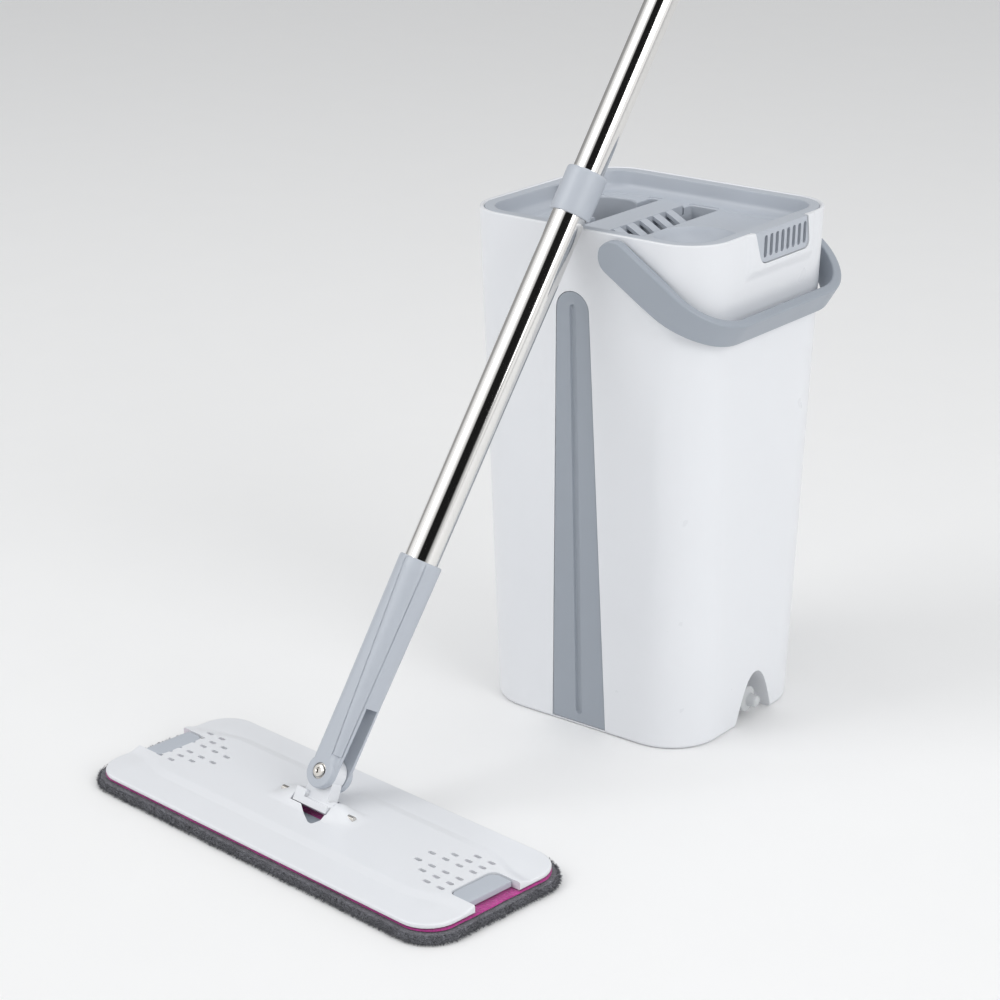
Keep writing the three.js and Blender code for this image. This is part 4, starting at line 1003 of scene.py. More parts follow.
def tank_shell(t, s, tray):
    lip, foot = 1.0, t.foot
    rings = []
    for i in range(5):
        a = math.pi / 2 * i / 4
        rings.append(tank_ring(t, foot * (1 - math.cos(a)), foot * (1 - math.sin(a))))
    lip_foot = t.height - t.lip_drop
    rings += [tank_ring(t, lip_foot * i / 6) for i in range(1, 6)]
    rings.append(tank_ring(t, lip_foot - 6))
    rings += [tank_ring(t, lip_foot + 3 * i, 0, t.lip) for i in range(11)]
    for i in range(4):
        a = math.pi / 2 * (i + 1) / 4
        rings.append(tank_ring(t, t.height - lip * (1 - math.sin(a)), lip * (1 - math.cos(a)), t.lip))
    rings.append(tank_ring(t, t.height, t.wall - lip))
    rings.append(tank_ring(t, t.height - lip, t.wall))
    rings.append(tank_ring(t, t.floor + 8, t.wall))
    rings.append(tank_ring(t, t.floor + 2.3, t.wall + 2.3))
    rings.append(tank_ring(t, t.floor, t.wall + 8))
    shell = skin("tank_shell", rings)
    back = t.base_width / 2 - t.niche_depth
    arch = [(y, max(z, 1.0)) for y, z in niche_outline(t, t.wall)]
    fuse(shell, across("niche_wall", arch, back - t.wall, t.base_width / 2 - 1.2))
    hole = turned("spout_hole", [(0, 0), (t.spout_hole, 0), (t.spout_hole, 40), (0, 40)], 40)
    tools = [
        across("niche", niche_outline(t), back, t.top_width),
        across("notch", tongue_outline(tray, t.height, 0.5), t.top_width / 2 - 14, t.top_width / 2 + 5),
        shift(hole, ALONG_X, (back - 20, DRAIN_MIDDLE.y, DRAIN_MIDDLE.z)),
    ]
    for facing in (-1, 1):
        channel = prism("channel", strip_outline(s, 0.4), -s.thickness - 0.3, 3.0)
        tools.append(shift(channel, BUCKET.inverted() @ face_carrier(t, facing)))
    return carve(shell, *tools)


def side_strip(name, s):
    """A strip with rounded edges and a long hollow down its middle."""
    rings = []
    edge, under = 0.5, -s.thickness
    for grow, z in ((-0.6, under), (-0.1, under + 0.3), (0, -edge), (-0.15, -0.15), (-edge, 0)):
        rings.append(at_height(strip_outline(s, grow), z - s.setback))
    strip = skin(name, rings)
    hollow = []
    for half, z in ((0.24, -1.0), (0.38, -0.8), (0.46, -0.35), (0.5, -0.08), (0.62, 0.0), (0.62, 1.0)):
        outline = groove_outline(s, half * s.groove)
        hollow.append(at_height(outline, z * s.groove_depth - s.setback if z < 0 else z - s.setback))
    hollow = skin("hollow", hollow)
    return carve(strip, hollow)


class MOP_OT_tank(bpy.types.Operator):
    """Builds the tank with its drain niche and side strips."""

    bl_idname = "mop.tank"
    bl_label = "Tank"

    def execute(self, context):
        t, s, tray = sizes("mop_tank"), sizes("mop_strip"), sizes("mop_tray")
        settle(tank_shell(t, s, tray), BUCKET, "bucket", "white_plastic", MADE["white"], "bucket_shell")
        for facing, side in ((-1, "front"), (1, "back")):
            strip, place = side_strip("strip_" + side, s), face_carrier(t, facing)
            settle(strip, place, "bucket", "grey_plastic", MADE["grey"], "side_strip_" + side)
        return {"FINISHED"}


# ---------------------------------------------------------------- tray, comb and blade
def tray_ring(t, z, inset):
    width, depth = t.top_width - 2 * inset, t.top_depth - 2 * inset
    ring = rounded(width, depth, max(t.top_corner - inset, 9.0), arc=12, run_x=8, run_y=8)
    return at_height(ring, z)


def dish_rings(t, tray):
    """From the rim's outer edge over the rim and down into the tray."""
    rim = t.height - tray.rim_drop
    floor = t.height - tray.sink
    inner = t.wall + tray.rim
    rings = [
        tray_ring(t, rim - 0.7, t.wall + 0.3),
        tray_ring(t, rim - 0.15, t.wall + 0.5),
        tray_ring(t, rim, t.wall + 1.2),
        tray_ring(t, rim, inner - 1.2),
        tray_ring(t, rim - 0.4, inner - 0.3),
        tray_ring(t, rim - 1.4, inner + 0.2),
    ]
    for i in range(8):
        a = math.pi / 2 * i / 7
        down = floor + tray.fillet * (1 - math.sin(a))
        rings.append(tray_ring(t, down, inner + 1.2 + tray.fillet * (1 - math.cos(a))))
    ledge = inner + tray.fillet + 5.0
    rings.append(tray_ring(t, floor, ledge))
    rings.append(tray_ring(t, floor - tray.step * 0.5, ledge + 0.8))
    rings.append(tray_ring(t, floor - tray.step, ledge + 1.6))
    return rings


def ellipse(cx, cy, rx, ry, sides=56):
    return [
        (cx + rx * math.cos(2 * math.pi * i / sides), cy + ry * math.sin(2 * math.pi * i / sides))
        for i in range(sides)
    ]


def wash_edges(tray):
    right = tray.chute_x0 - tray.bar_width - 0.5
    return right - tray.wash_width, right


def mouth(name, outline_at, foot, floor, top, flare=2.2):
    """A cutting tool for an opening whose upper edge is rounded by a flare."""
    rings = [at_height(outline_at(0), foot)]
    for i in range(6):
        a = math.pi / 2 * i / 5
        rings.append(at_height(outline_at(flare * (1 - math.cos(a))), floor - flare + flare * math.sin(a)))
    rings.append(at_height(outline_at(flare), top))
    return skin(name, rings)


def tray_body(t, tray):
    rim, floor = t.height - tray.rim_drop, t.height - tray.sink
    foot = t.height - tray.skirt
    under = floor - tray.floor
    outer = t.wall + 0.3
    inner = outer + tray.skirt_wall
    rings = [tray_ring(t, under, inner + 1), tray_ring(t, under - 1, inner)]
    taper = (t.top_width - t.base_width) / 2 / t.height * tray.skirt
    rings.append(tray_ring(t, foot, inner + taper))
    rings.append(tray_ring(t, foot, outer + taper))
    body = skin("tray", rings + dish_rings(t, tray))
    left, right = wash_edges(tray)
    wall, half = tray.chute_wall, tray.chute_half

    def chute(x0, x1, grow):
        return rounded(x1 - x0 + 2 * grow, 2 * (half + grow), 1.5 + grow, 4, x=(x0 + x1) / 2)

    def squeeze(grow):
        return chute(tray.chute_x0, tray.chute_x1, grow)

    def slot(grow):
        return chute(left, right, grow)

    def bulge(grow):
        return ellipse(tray.bulge_x, tray.bulge_y, tray.bulge_rx + grow, tray.bulge_ry + grow)

    bowl = ellipse(tray.bowl_x, tray.bowl_y, tray.bowl_r + wall, tray.bowl_r + wall)
    low, mid = t.height - tray.chute_depth, t.height - tray.wash_depth
    lid = floor - tray.step - 0.3
    fuse(
        body,
        prism("squeeze_wall", squeeze(wall), low, lid),
        prism("slot_wall", slot(wall), mid, lid),
        prism("bulge_wall", bulge(wall), mid, lid),
        prism("bowl_wall", bowl, floor - tray.bowl_depth - 2, lid),
        tongue_plate(t, tray),
    )
    bar_z0 = floor + tray.bar_lift - tray.bar_thick
    carve(
        body,
        mouth("squeeze_mouth", squeeze, low - 1, floor - 0.4, rim - 2, 1.2),
        mouth("slot_mouth", slot, mid - 1, floor - 0.4, rim - 2, 1.2),
        mouth("bulge_mouth", bulge, mid - 1, floor - 0.4, rim - 2),
        bowl_tool(t, tray),
    )
    outline = [
        (right - 0.3, -half), (tray.chute_x0 + 1, -half),
        (tray.chute_x0 + 1, tray.bar_far + 0.6), (right - 0.3, tray.bar_far_out + 1.1),
    ]
    seat = prism("seat", outline, bar_z0 - 0.3, rim - 2)
    return carve(body, seat, tongue_hollow(t, tray), row_of_slots(t, tray))


def bowl_tool(t, tray):
    """The bowl hollows out softly and its edge runs over into the tray."""
    floor = t.height - tray.sink
    deep, r = tray.bowl_depth, tray.bowl_r
    profile = [
        (0, -deep), (r * 0.45, -deep * 0.985), (r * 0.68, -deep * 0.88), (r * 0.86, -deep * 0.64),
        (r * 0.96, -deep * 0.34), (r + 0.8, -1.6), (r + 2.4, -0.5), (r + 4.6, -0.1), (r + 5.2, 2), (0, 2),
    ]
    return shift(turned("bowl", profile, 72), None, (tray.bowl_x, tray.bowl_y, floor))


def tongue_plate(t, tray):
    """The pouring tongue, flush with the wall around it."""
    slope = (t.top_width - t.base_width) / 2 / t.height
    face = t.top_width / 2 + t.lip - 0.9
    plate = across("tongue", tongue_outline(tray, t.height), face - 11, face)
    for vertex in plate.data.vertices:
        vertex.co.x += slope * (vertex.co.z - t.height) * (vertex.co.x > face - 1)
        vertex.co.z = min(vertex.co.z, t.height - tray.rim_drop)
    return plate


def tongue_hollow(t, tray):
    """The closed hollow behind the tongue's slots, which makes them look deep."""
    x, foot = t.top_width / 2, t.height - tray.slot_foot - 1.0
    y0 = tray.slot_first - tray.slot_width
    y1 = tray.slot_first + (tray.slots - 1) * tray.slot_pitch + tray.slot_width
    return box("hollow", x - 8.5, x - 2.6, y0, y1, foot, foot + tray.slot_length + 1.6)


def row_of_slots(t, tray):
    middle = t.height - tray.slot_foot + tray.slot_length / 2
    seeds = [(tray.slot_first + i * tray.slot_pitch, 0, 0) for i in range(tray.slots)]
    row = grown(
        "tongue_slots", piece_of("seeds", seeds, []), MADE["slots"], MADE["grey"],
        length=tray.slot_width, width=tray.slot_length, depth=22.0,
    )
    return shift(row, ALONG_X, (t.top_width / 2 - 7.5, 0, middle))


def comb(t, tray):
    """A bar that clips into the tray, and the teeth that slope down over the chute."""
    z1 = t.height - tray.sink + tray.bar_lift
    z0 = z1 - tray.bar_thick
    x0, x1 = tray.chute_x0 - tray.bar_width, tray.chute_x0
    near = -tray.chute_half + 0.3
    outline = filleted([(x0, near), (x1, near), (x1, tray.bar_far), (x0, tray.bar_far_out)], 1.2, 4)
    bar = prism("wringer_bar", outline, z0, z1)
    teeth = grown(
        "teeth", piece_of("seeds", [(0, 0, 0)], []), MADE["teeth"], MADE["grey"], count=tray.teeth,
        pitch=tray.tooth_pitch, width=tray.tooth_width, run=tray.tooth_run + 1.0, drop=tray.tooth_drop,
        thickness=tray.tooth_thick,
    )
    middle = x1 - 1.0 + (tray.tooth_run + 1.0) / 2
    shift(teeth, None, (middle, tray.tooth_first, z1 - tray.tooth_thick / 2 - 0.02))
    return soften(fuse(bar, teeth), 0.45, 3)


class MOP_OT_tray(bpy.types.Operator):
    """Builds the tray with its chutes and tongue, the wringer comb and the squeeze blade."""

    bl_idname = "mop.tray"
    bl_label = "Tray and comb"

    def execute(self, context):
        t, tray = sizes("mop_tank"), sizes("mop_tray")
        grey = MADE["pale"]
        settle(tray_body(t, tray), BUCKET, "bucket", "grey_plastic", grey, "top_insert")
        settle(comb(t, tray), BUCKET, "bucket", "grey_plastic", grey, "wringer_comb")
        blade = from_node("blade", "squeeze_blade", 0.5)
        settle(blade, BUCKET, "bucket", "blade_rubber", MADE["rubber"], "squeeze_blade")
        return {"FINISHED"}


# ---------------------------------------------------------------- drain
class MOP_OT_drain(bpy.types.Operator):
    """Builds the drain's spout, gasket, ribbed nut and pull-out plug."""

    bl_idname = "mop.drain"
    bl_label = "Drain"

    def execute(self, context):
        clear = MADE["clear"]
        low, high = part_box("drain_nut")
        reach = (high.x - low.x) / MM
        radius = (high.z - low.z) / 2 / MM
        nut = from_node("nut", "drain_nut", 0.35)
        ribs = grown(
            "ribs", piece_of("seeds", [(0, 0, 0)], []), MADE["ribs"], clear, count=26,
            radius=radius - 0.35, rib=0.75, height=reach - 0.8,
        )
        fuse(nut, shift(ribs, ALONG_X, DRAIN_MIDDLE))
        settle(nut, BUCKET, "bucket", "clear_plastic", clear, "drain_nut")
        for name, source in (("spout", "drain_spout"), ("gasket", "drain_gasket")):
            settle(from_node(name, source, 0.25), BUCKET, "bucket", "clear_plastic", clear, source)
        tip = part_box("drain_plug")[1].x / MM
        profile = [
            (0, -29), (6.4, -29), (7.2, -25), (7.2, -15.2), (9.0, -15.2), (9.6, -14.6), (9.6, -10), (9.3, -9),
            (8.2, -8.2), (5.4, -7.8), (4.7, -7.2), (4.6, -2.6), (4.0, -1.0), (2.4, -0.15), (0, 0),
        ]
        plug = shift(turned("plug", profile, 48), ALONG_X, (tip, DRAIN_MIDDLE.y, DRAIN_MIDDLE.z))
        settle(plug, BUCKET, "plug", "clear_plastic", clear, "drain_plug")
        return {"FINISHED"}


# ---------------------------------------------------------------- bail
def bail_path(b):
    """Stations along the bail: place, outward side and half the ribbon's width."""
    arm_y = b.half + b.thick / 2
    bar_x = b.reach + b.thick / 2
    bend = b.bend - b.thick / 2
    end = b.arm / 2
    straight = b.reach - b.bend - 8

    def half_at(x):
        if x < 0:
            return math.sqrt(max(end * end - x * x, 0.04))
        return blend(end, b.bar / 2, smooth(straight, bar_x, x))

    stations = []
    for i in range(12):
        x = -end * math.cos(math.pi / 2 * i / 12) * 0.9995
        stations.append((x, -arm_y, 0, -1, half_at(x)))
    for i in range(13):
        x = (bar_x - bend) * i / 12
        stations.append((x, -arm_y, 0, -1, half_at(x)))
    for i in range(1, 17):
        a = -math.pi / 2 + math.pi / 2 * i / 16
        x, y = bar_x - bend + bend * math.cos(a), -arm_y + bend + bend * math.sin(a)
        stations.append((x, y, math.cos(a), math.sin(a), half_at(x)))
    for i in range(1, 9):
        y = blend(-arm_y + bend, 0, i / 8)
        stations.append((bar_x, y, 1, 0, b.bar / 2))
    far = [(x, -y, nx, -ny, h) for x, y, nx, ny, h in stations[-2::-1]]
    return stations + far


def bail_ribbon(b):
    rings = []
    for x, y, nx, ny, half in bail_path(b):
        edge = min(b.edge, half * 0.6)
        section = rounded(b.thick, 2 * half, edge, 4)
        rings.append([(x + nx * u, y + ny * u, v) for u, v in section])
    return skin("bail", rings)


class MOP_OT_bail(bpy.types.Operator):
    """Builds the bail handle and its two studs."""

    bl_idname = "mop.bail"
    bl_label = "Bail"

    def execute(self, context):
        b = sizes("mop_bail")
        settle(bail_ribbon(b), bail_carrier(b.hang), "bail", "grey_plastic", MADE["grey"], "bail_handle")
        for side in ("front", "back"):
            stud = from_node("stud_" + side, "bail_stud_" + side, 0.5)
            settle(stud, BUCKET, "bail", "grey_plastic", MADE["grey"], "bail_stud_" + side)
        return {"FINISHED"}


# ---------------------------------------------------------------- mop head
def plate_height(h, x, y, inset):
    """Height of the plate's upper skin above its underside."""
    half = blend(h.step_half, h.clip_half + 2.2, smooth(h.clip_inner - 26, h.plate_length / 2 - 4, abs(x)))
    low = h.plate_edge + 0.9 * smooth(0, h.plate_width / 2 - h.step_half - h.slope, inset)
    up = 1 - min(max((abs(y) - half) / h.slope, 0), 1)
    z = blend(low, h.plate_thick, up)
    along = abs(x - h.hinge_x)
    size = 1 - smooth(h.hub_half, h.hump_end, along)
    q = min(abs(y - h.hinge_y) / (h.hump_half * 1.25), 1.0)
    return z + h.hump * size * (1 - q * q) ** 1.5


def plate_skin(h):
    """The plate's skin, in rings that run in from its edge to a strip down its middle."""
    arc, run_x, run_y = 10, 120, 36

    def ring(inset, lift=None):
        outline = rounded(
            h.plate_length - 2 * inset, h.plate_width - 2 * inset, max(h.plate_corner - inset, 0.6),
            arc=arc, run_x=run_x, run_y=run_y,
        )
        if lift is not None:
            return at_height(outline, h.plate_z + lift)
        return [(x, y, h.plate_z + plate_height(h, x, y, inset) + edge_fall(inset)) for x, y in outline]

    def edge_fall(inset, radius=1.4):
        gone = max(radius - inset, 0)
        return math.sqrt(radius * radius - gone * gone) - radius

    insets = [0.08, 0.4, 0.9, 1.5, 3, 6, 10, 14] + [17 + i for i in range(44)] + [61.4]
    rings = [ring(0.8, 0), ring(0.1, 0.5), ring(0, 1.2)] + [ring(inset) for inset in insets]
    turn = 2 * arc + run_x
    return skin("plate", rings, (turn, len(rings[0]) - run_y))


def drain_slots(h):
    """Slots in a leaf of columns that shorten towards the hinge, at both ends."""
    seeds = []
    for side in (-1, 1):
        for column, rows in enumerate((3, 3, 2, 1)):
            x = h.hinge_x + side * (h.slot_column - column * h.slot_pitch_x)
            for row in range(rows):
                rise = h.slot_gap + row * h.slot_pitch_y
                seeds += [(x, h.hinge_y - rise, h.plate_z - 1), (x, h.hinge_y + rise, h.plate_z - 1)]
    return grown(
        "drain_slots", piece_of("seeds", seeds, []), MADE["slots"], MADE["white"],
        length=h.slot_length, width=h.slot_width, depth=h.plate_thick + 3,
    )


def pocket(h, name, corners, radii, floor):
    """A pocket beside the hinge, drawn from the hinge's middle, down to its floor."""
    outline = filleted([(x + h.hinge_x, y + h.hinge_y) for x, y in corners], radii)
    return prism(name, outline, h.plate_z + floor, h.plate_z + 20)


def clip_outline(h, grow=0.0, x_out=0.0):
    x0, x1 = h.clip_inner - grow, h.clip_inner + h.clip_length + grow + x_out
    y0, y1 = h.clip_y - h.clip_half - grow, h.clip_y + h.clip_half + grow
    return filleted([(x0, y0), (x1, y0), (x1, y1), (x0, y1)], [6, 1.2, 1.2, 7.5], 7)


MIRROR_X = Matrix.Diagonal((-1, 1, 1, 1))


def hinge_room(h, name, half_x, half_y, top):
    """Room in the plate about the hinge's middle, from its underside up."""
    x, y = h.hinge_x, h.hinge_y
    return box(name, x - half_x, x + half_x, y - half_y, y + half_y, h.axle_room, top)


def mop_plate(h):
    front = [(-21, 6), (-20, -1.5), (12, -20.5), (15.5, -20.5), (17, -6), (17, 6)]
    rear = [(-14, 24), (4, 24), (8, 29), (0, 41), (-8, 41), (-14, 36)]
    tools = [
        hinge_room(h, "hub_room", h.hub_half + 0.6, 9.4, 40),
        hinge_room(h, "retainer_seat", 31.3, 23.3, 10.2),
        # The front pocket goes through the plate to the retainer, whose grey is painted shade.
        pocket(h, "front_pocket", front, [0, 1, 2.5, 2.5, 2, 0], -1),
        pocket(h, "rear_pocket", rear, 3.0, h.plate_thick - 1.4),
        drain_slots(h),
    ]
    for turn in (Matrix.Identity(4), MIRROR_X):
        tools.append(shift(prism("clip_room", clip_outline(h, 0.6, 30), h.axle_room, 30), turn))
    return carve(plate_skin(h), *tools)


def clip_tab(h, name, side):
    """A spring tab with a soft crown."""
    thick = 4.6
    z0 = h.plate_z + 0.4
    rings = [
        at_height(clip_outline(h, -0.5), z0), at_height(clip_outline(h, 0), z0 + 0.5),
        at_height(clip_outline(h, 0), z0 + thick - 0.9),
    ]
    for grow, drop in ((-0.25, 0.35), (-0.8, 0.08), (-2.0, 0.0), (-4.0, -0.06), (-6.0, -0.1)):
        rings.append(at_height(clip_outline(h, grow), z0 + thick - drop))
    tab = skin(name, rings)
    return shift(tab, None if side > 0 else MIRROR_X)


def pad_rings(h, inset, profile, wobble):
    """Rings around the pad, each a little uneven; only what lies off the floor rises and falls."""
    rings = []
    for z, drawn in profile:
        outline = rounded(
            h.pad_length - 2 * (inset + drawn), h.pad_width - 2 * (inset + drawn),
            h.pad_corner - inset - drawn, arc=14, run_x=110, run_y=40,
        )
        ring = []
        for x, y in outline:
            sway = wobble * noise.noise(Vector((x * 0.06, y * 0.06, z * 0.15)))
            swell = 0.5 * wobble * noise.noise(Vector((x * 0.09, y * 0.09, 7.0 + z))) * (z > 0.5)
            away = Vector((x, y)).normalized()
            ring.append((x + away.x * sway, y + away.y * sway, max(z + swell, 0)))
        rings.append(ring)
    return rings


def pile_pad(h):
    high = h.pile
    profile = [
        (0, 4.5), (0.15, 2.6), (0.8, 1.5), (2.0, 0.9), (3.4, 0.7), (4.8, 1.1),
        (high - 0.4, 2.2), (high, 3.8), (high, 12.0),
    ]
    return skin("pile", pad_rings(h, 0, profile, 0.7))


def pile_edge(h):
    """Only the pad's side, as ground for the tufts."""
    profile = [(0.9, 1.6), (2.0, 1.0), (3.4, 0.8), (4.8, 1.2), (h.pile - 0.5, 2.4)]
    side = skin("pile_edge", pad_rings(h, 0, profile, 0.7))
    bm = bmesh.new()
    bm.from_mesh(side.data)
    caps = [face for face in bm.faces if len(face.verts) > 4]
    bmesh.ops.delete(bm, geom=caps, context="FACES")
    bm.to_mesh(side.data)
    bm.free()
    return side


def pad_backing(h):
    z0 = h.pile + 0.25
    top = h.backing
    profile = [(z0, 1.0), (z0 + 0.3, 0.25), (z0 + 0.8, 0.0), (z0 + top - 0.3, 0.3), (z0 + top, 1.0)]
    return skin("backing", pad_rings(h, h.border, profile, 0.5))


class MOP_OT_head(bpy.types.Operator):
    """Builds the plate with its hinge humps, slots and clips, the yoke and its axle."""

    bl_idname = "mop.head"
    bl_label = "Mop head"

    def execute(self, context):
        h = sizes("mop_head")
        settle(mop_plate(h), HEAD, "mop_head", "white_plastic", MADE["white"], "mop_plate")
        for side, name in ((1, "right"), (-1, "left")):
            tab = clip_tab(h, "tab_" + name, side)
            settle(tab, HEAD, name + "_clip", "grey_plastic", MADE["pale"], "clip_" + name)
        yoke = from_node("yoke", "swivel_yoke", 0.6)
        settle(yoke, BUCKET, "yoke", "white_plastic", MADE["white"], "swivel_yoke")
        axle = from_node("axle", "tilt_axle", 0.3)
        settle(axle, BUCKET, "mop_head", "fastener", MADE["nickel"], "tilt_axle")
        return {"FINISHED"}


class MOP_OT_pad(bpy.types.Operator):
    """Builds the microfibre pad: its pile, the tufts along its edge and its backing."""

    bl_idname = "mop.pad"
    bl_label = "Pad"

    def execute(self, context):
        h = sizes("mop_head")
        pad = settle(pile_pad(h), HEAD, "mop_head", "pad_fibre", MADE["pile"], "pad_pile")
        tufts = grown(
            "tufts", pile_edge(h), MADE["tufts"], MADE["pile"],
            density=1.0, length=h.tuft, thickness=0.34, seed=7,
        )
        tufts.data.transform(HEAD)
        tufts.data.shade_smooth()
        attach(tufts, "mop_head")
        backing = settle(pad_backing(h), HEAD, "mop_head", "pad_fabric", MADE["backing"], "pad_backing")
        return {"FINISHED"}


# ---------------------------------------------------------------- pole
def socket_outline(p, z):
    """Width, depth and corner of the socket at a height above the screw."""
    waist = p.fork_slot_top + 4
    if z < waist:
        share = smooth(0, 1, z / waist)
        return (p.fork_width + 2 * share, p.fork_depth + 3.5 * share, 5 + 4.5 * share)
    share = (z - waist) / (p.socket_top - waist)
    return (
        blend(p.fork_width + 2, p.socket_width, share), blend(p.fork_depth + 3.5, p.socket_depth, share),
        blend(9.5, 14.2, share),
    )


def socket_point(p, z, turn, out=0.0):
    """A point on the socket's skin at an angle around it; 0 is the front, growing to the right."""
    width, depth, corner = socket_outline(p, z)
    direction = Vector((math.sin(turn), -math.cos(turn)))
    low, high = 0.0, 40.0
    for _ in range(22):
        middle = (low + high) / 2
        x, y = abs(direction.x) * middle, abs(direction.y) * middle
        gx, gy = max(x - (width / 2 - corner), 0), max(y - (depth / 2 - corner), 0)
        beyond = math.hypot(gx, gy) > corner
        low, high = (low, middle) if beyond else (middle, high)
    reach = low + out
    return (direction.x * reach, direction.y * reach, z)


def rib_edges(p, z):
    """Where the raised rib starts and ends around the socket: it widens towards the mouth."""
    share = min(max((z - 6) / (p.socket_top - 6), 0), 1)
    return math.radians(blend(26, -7, share)), math.radians(blend(56, 60, share))


def socket_skin(p):
    """The socket's outside, with a shallow seat for its raised rib and a rounded mouth."""
    rings = []
    sides = 144
    step, margin = 2.5, 0.028
    top = p.socket_top
    levels = [step * i for i in range(int((top - 1.6) / step) + 1)] + [top - 1.4, top - 0.5, top]
    for z in levels:
        first, last = rib_edges(p, z)
        ring = []
        for i in range(sides):
            turn = 2 * math.pi * i / sides
            signed = turn if turn < math.pi else turn - 2 * math.pi
            after = smooth(first - margin, first + margin, signed)
            before = 1 - smooth(last - margin, last + margin, signed)
            edge = 0.9 if z > top - 0.3 else 0.3 if z > top - 1.0 else 0
            ring.append(socket_point(p, z, turn, -0.9 * after * before * (z > 12) - edge))
        rings.append(ring)
    return skin("socket", rings)


def plain_bore(name, radius, low, high, sides):
    """A round cutting tool about Z."""
    return turned(name, [(0, low), (radius, low), (radius, high), (0, high)], sides)


def handle_socket(p):
    r, face = p.fork_end, p.fork_depth / 2
    end = [
        (0, -face), (r - 1.4, -face), (r - 0.4, -face + 0.4), (r, -face + 1.4),
        (r, face - 1.4), (r - 0.4, face - 0.4), (r - 1.4, face), (0, face),
    ]
    body = fuse(socket_skin(p), shift(turned("fork_end", end, 72), ALONG_Y))
    slot = box("fork_slot", -20, 20, -p.fork_slot / 2, p.fork_slot / 2, -20, p.fork_slot_top)
    bore = plain_bore("bore", p.lower_r + 0.2, p.bore_foot, p.socket_top + 6, 64)
    recess = plain_bore("recess", p.screw_head + 0.9, -4, 1.1, 48)
    shaft = plain_bore("shaft", p.screw_r + 0.3, -20, 20, 32)
    room = plain_bore("nut_room", 5.2, 0, 9, 6)
    shift(recess, ALONG_Y, (0, -face, 0))
    shift(room, ALONG_Y, (0, face - 3, 0))
    return carve(body, slot, bore, recess, shift(shaft, ALONG_Y), room)


def socket_rib(p):
    """The raised rib that runs down the socket's front right."""
    rings = []
    levels = [14 + 3.0 * i for i in range(46)]
    for z in [13.6] + levels + [p.socket_top - 0.7]:
        first, last = rib_edges(p, z)
        first, last = first + 0.05, last - 0.05
        tip = 0.8 if z in (13.6, p.socket_top - 0.7) else 0.0
        outer = []
        for i in range(13):
            turn = blend(first, last, i / 12)
            edge = 0.3 if i in (0, 12) else 0.0
            outer.append(socket_point(p, z, turn, 0.22 - edge - tip))
        inner = [socket_point(p, z, blend(first, last, i / 12), -0.85) for i in range(12, -1, -1)]
        rings.append(outer + inner)
    return skin("socket_rib", rings)


def pivot_screw(p):
    front = -p.fork_depth / 2
    head, shaft = p.screw_head, p.screw_r
    profile = [
        (0, -0.9), (1.6, -0.9), (2.0, -1.5), (3.4, -1.6), (head - 0.4, -1.2), (head, -0.5), (head, 0.4),
        (shaft, 0.4), (shaft, 19), (0, 19),
    ]
    screw = shift(turned("screw", profile, 48), ALONG_Y, (0, front + 0.1, 0))
    socket = shift(turned("key", [(0, -3), (1.7, -3), (1.7, -0.1), (0, -0.1)], 6), ALONG_Y, (0, front, 0))
    return carve(screw, socket)


def tube(name, radius, wall, low, high):
    inner = radius - wall
    profile = [
        (inner, low), (radius - 0.2, low), (radius, low + 0.2),
        (radius, high - 0.2), (radius - 0.2, high), (inner, high),
    ]
    return turned(name, profile, 96)


def lock_collar(p):
    """A sleeve over both tubes, with room inside for the bush."""
    r, low, high = p.collar_r, p.collar_from, p.collar_to
    over, under, room = p.lower_r + 0.3, p.upper_r + 0.5, r - 1.1
    profile = [
        (over, low), (room, low), (r - 0.3, low + 0.25), (r, low + 1.0), (r + 0.05, low + 6),
        (r, high - 2.2), (r - 0.2, high - 1.0), (r - 0.8, high - 0.2), (r - 1.8, high),
        (under + 0.2, high), (under, high - 0.3), (under, high - 3), (room, high - 3),
        (room, low + 22), (over, low + 22),
    ]
    return turned("collar", profile, 72)


def grip_sleeve(p):
    """A soft sleeve with a slight waist between two end rings."""
    low, r = p.grip_from, p.grip_r
    profile = [
        (p.upper_r + 0.3, low), (r - 1.6, low), (r - 0.4, low + 0.6), (r, low + 2.2),
        (r, low + 6), (r - 0.7, low + 7),
    ]
    for i in range(1, 16):
        share = i / 16
        waist = 0.7 + 0.9 * math.sin(math.pi * share) ** 2
        profile.append((r - waist, low + 7 + share * (p.grip_length - 14)))
    high = low + p.grip_length
    profile += [
        (r - 0.7, high - 7), (r, high - 6), (r, high - 2.2), (r - 0.4, high - 0.6),
        (r - 1.6, high), (p.upper_r + 0.3, high),
    ]
    return turned("grip_sleeve", profile, 64)


class MOP_OT_socket(bpy.types.Operator):
    """Builds the pole's socket with its rib, screw, washer and nut."""

    bl_idname = "mop.socket"
    bl_label = "Pole socket"

    def execute(self, context):
        p = sizes("mop_pole")
        settle(handle_socket(p), POLE, "pole_lower", "grey_plastic", MADE["pale"], "handle_socket")
        settle(socket_rib(p), POLE, "pole_lower", "grey_plastic", MADE["pale"], "socket_inlay")
        settle(pivot_screw(p), POLE, "pole_lower", "fastener", MADE["nickel"], "pivot_screw")
        for name, source in (("washer", "pivot_washer"), ("nut_hex", "pivot_nut")):
            settle(from_node(name, source, 0.15), BUCKET, "pole_lower", "fastener", MADE["nickel"], source)
        return {"FINISHED"}


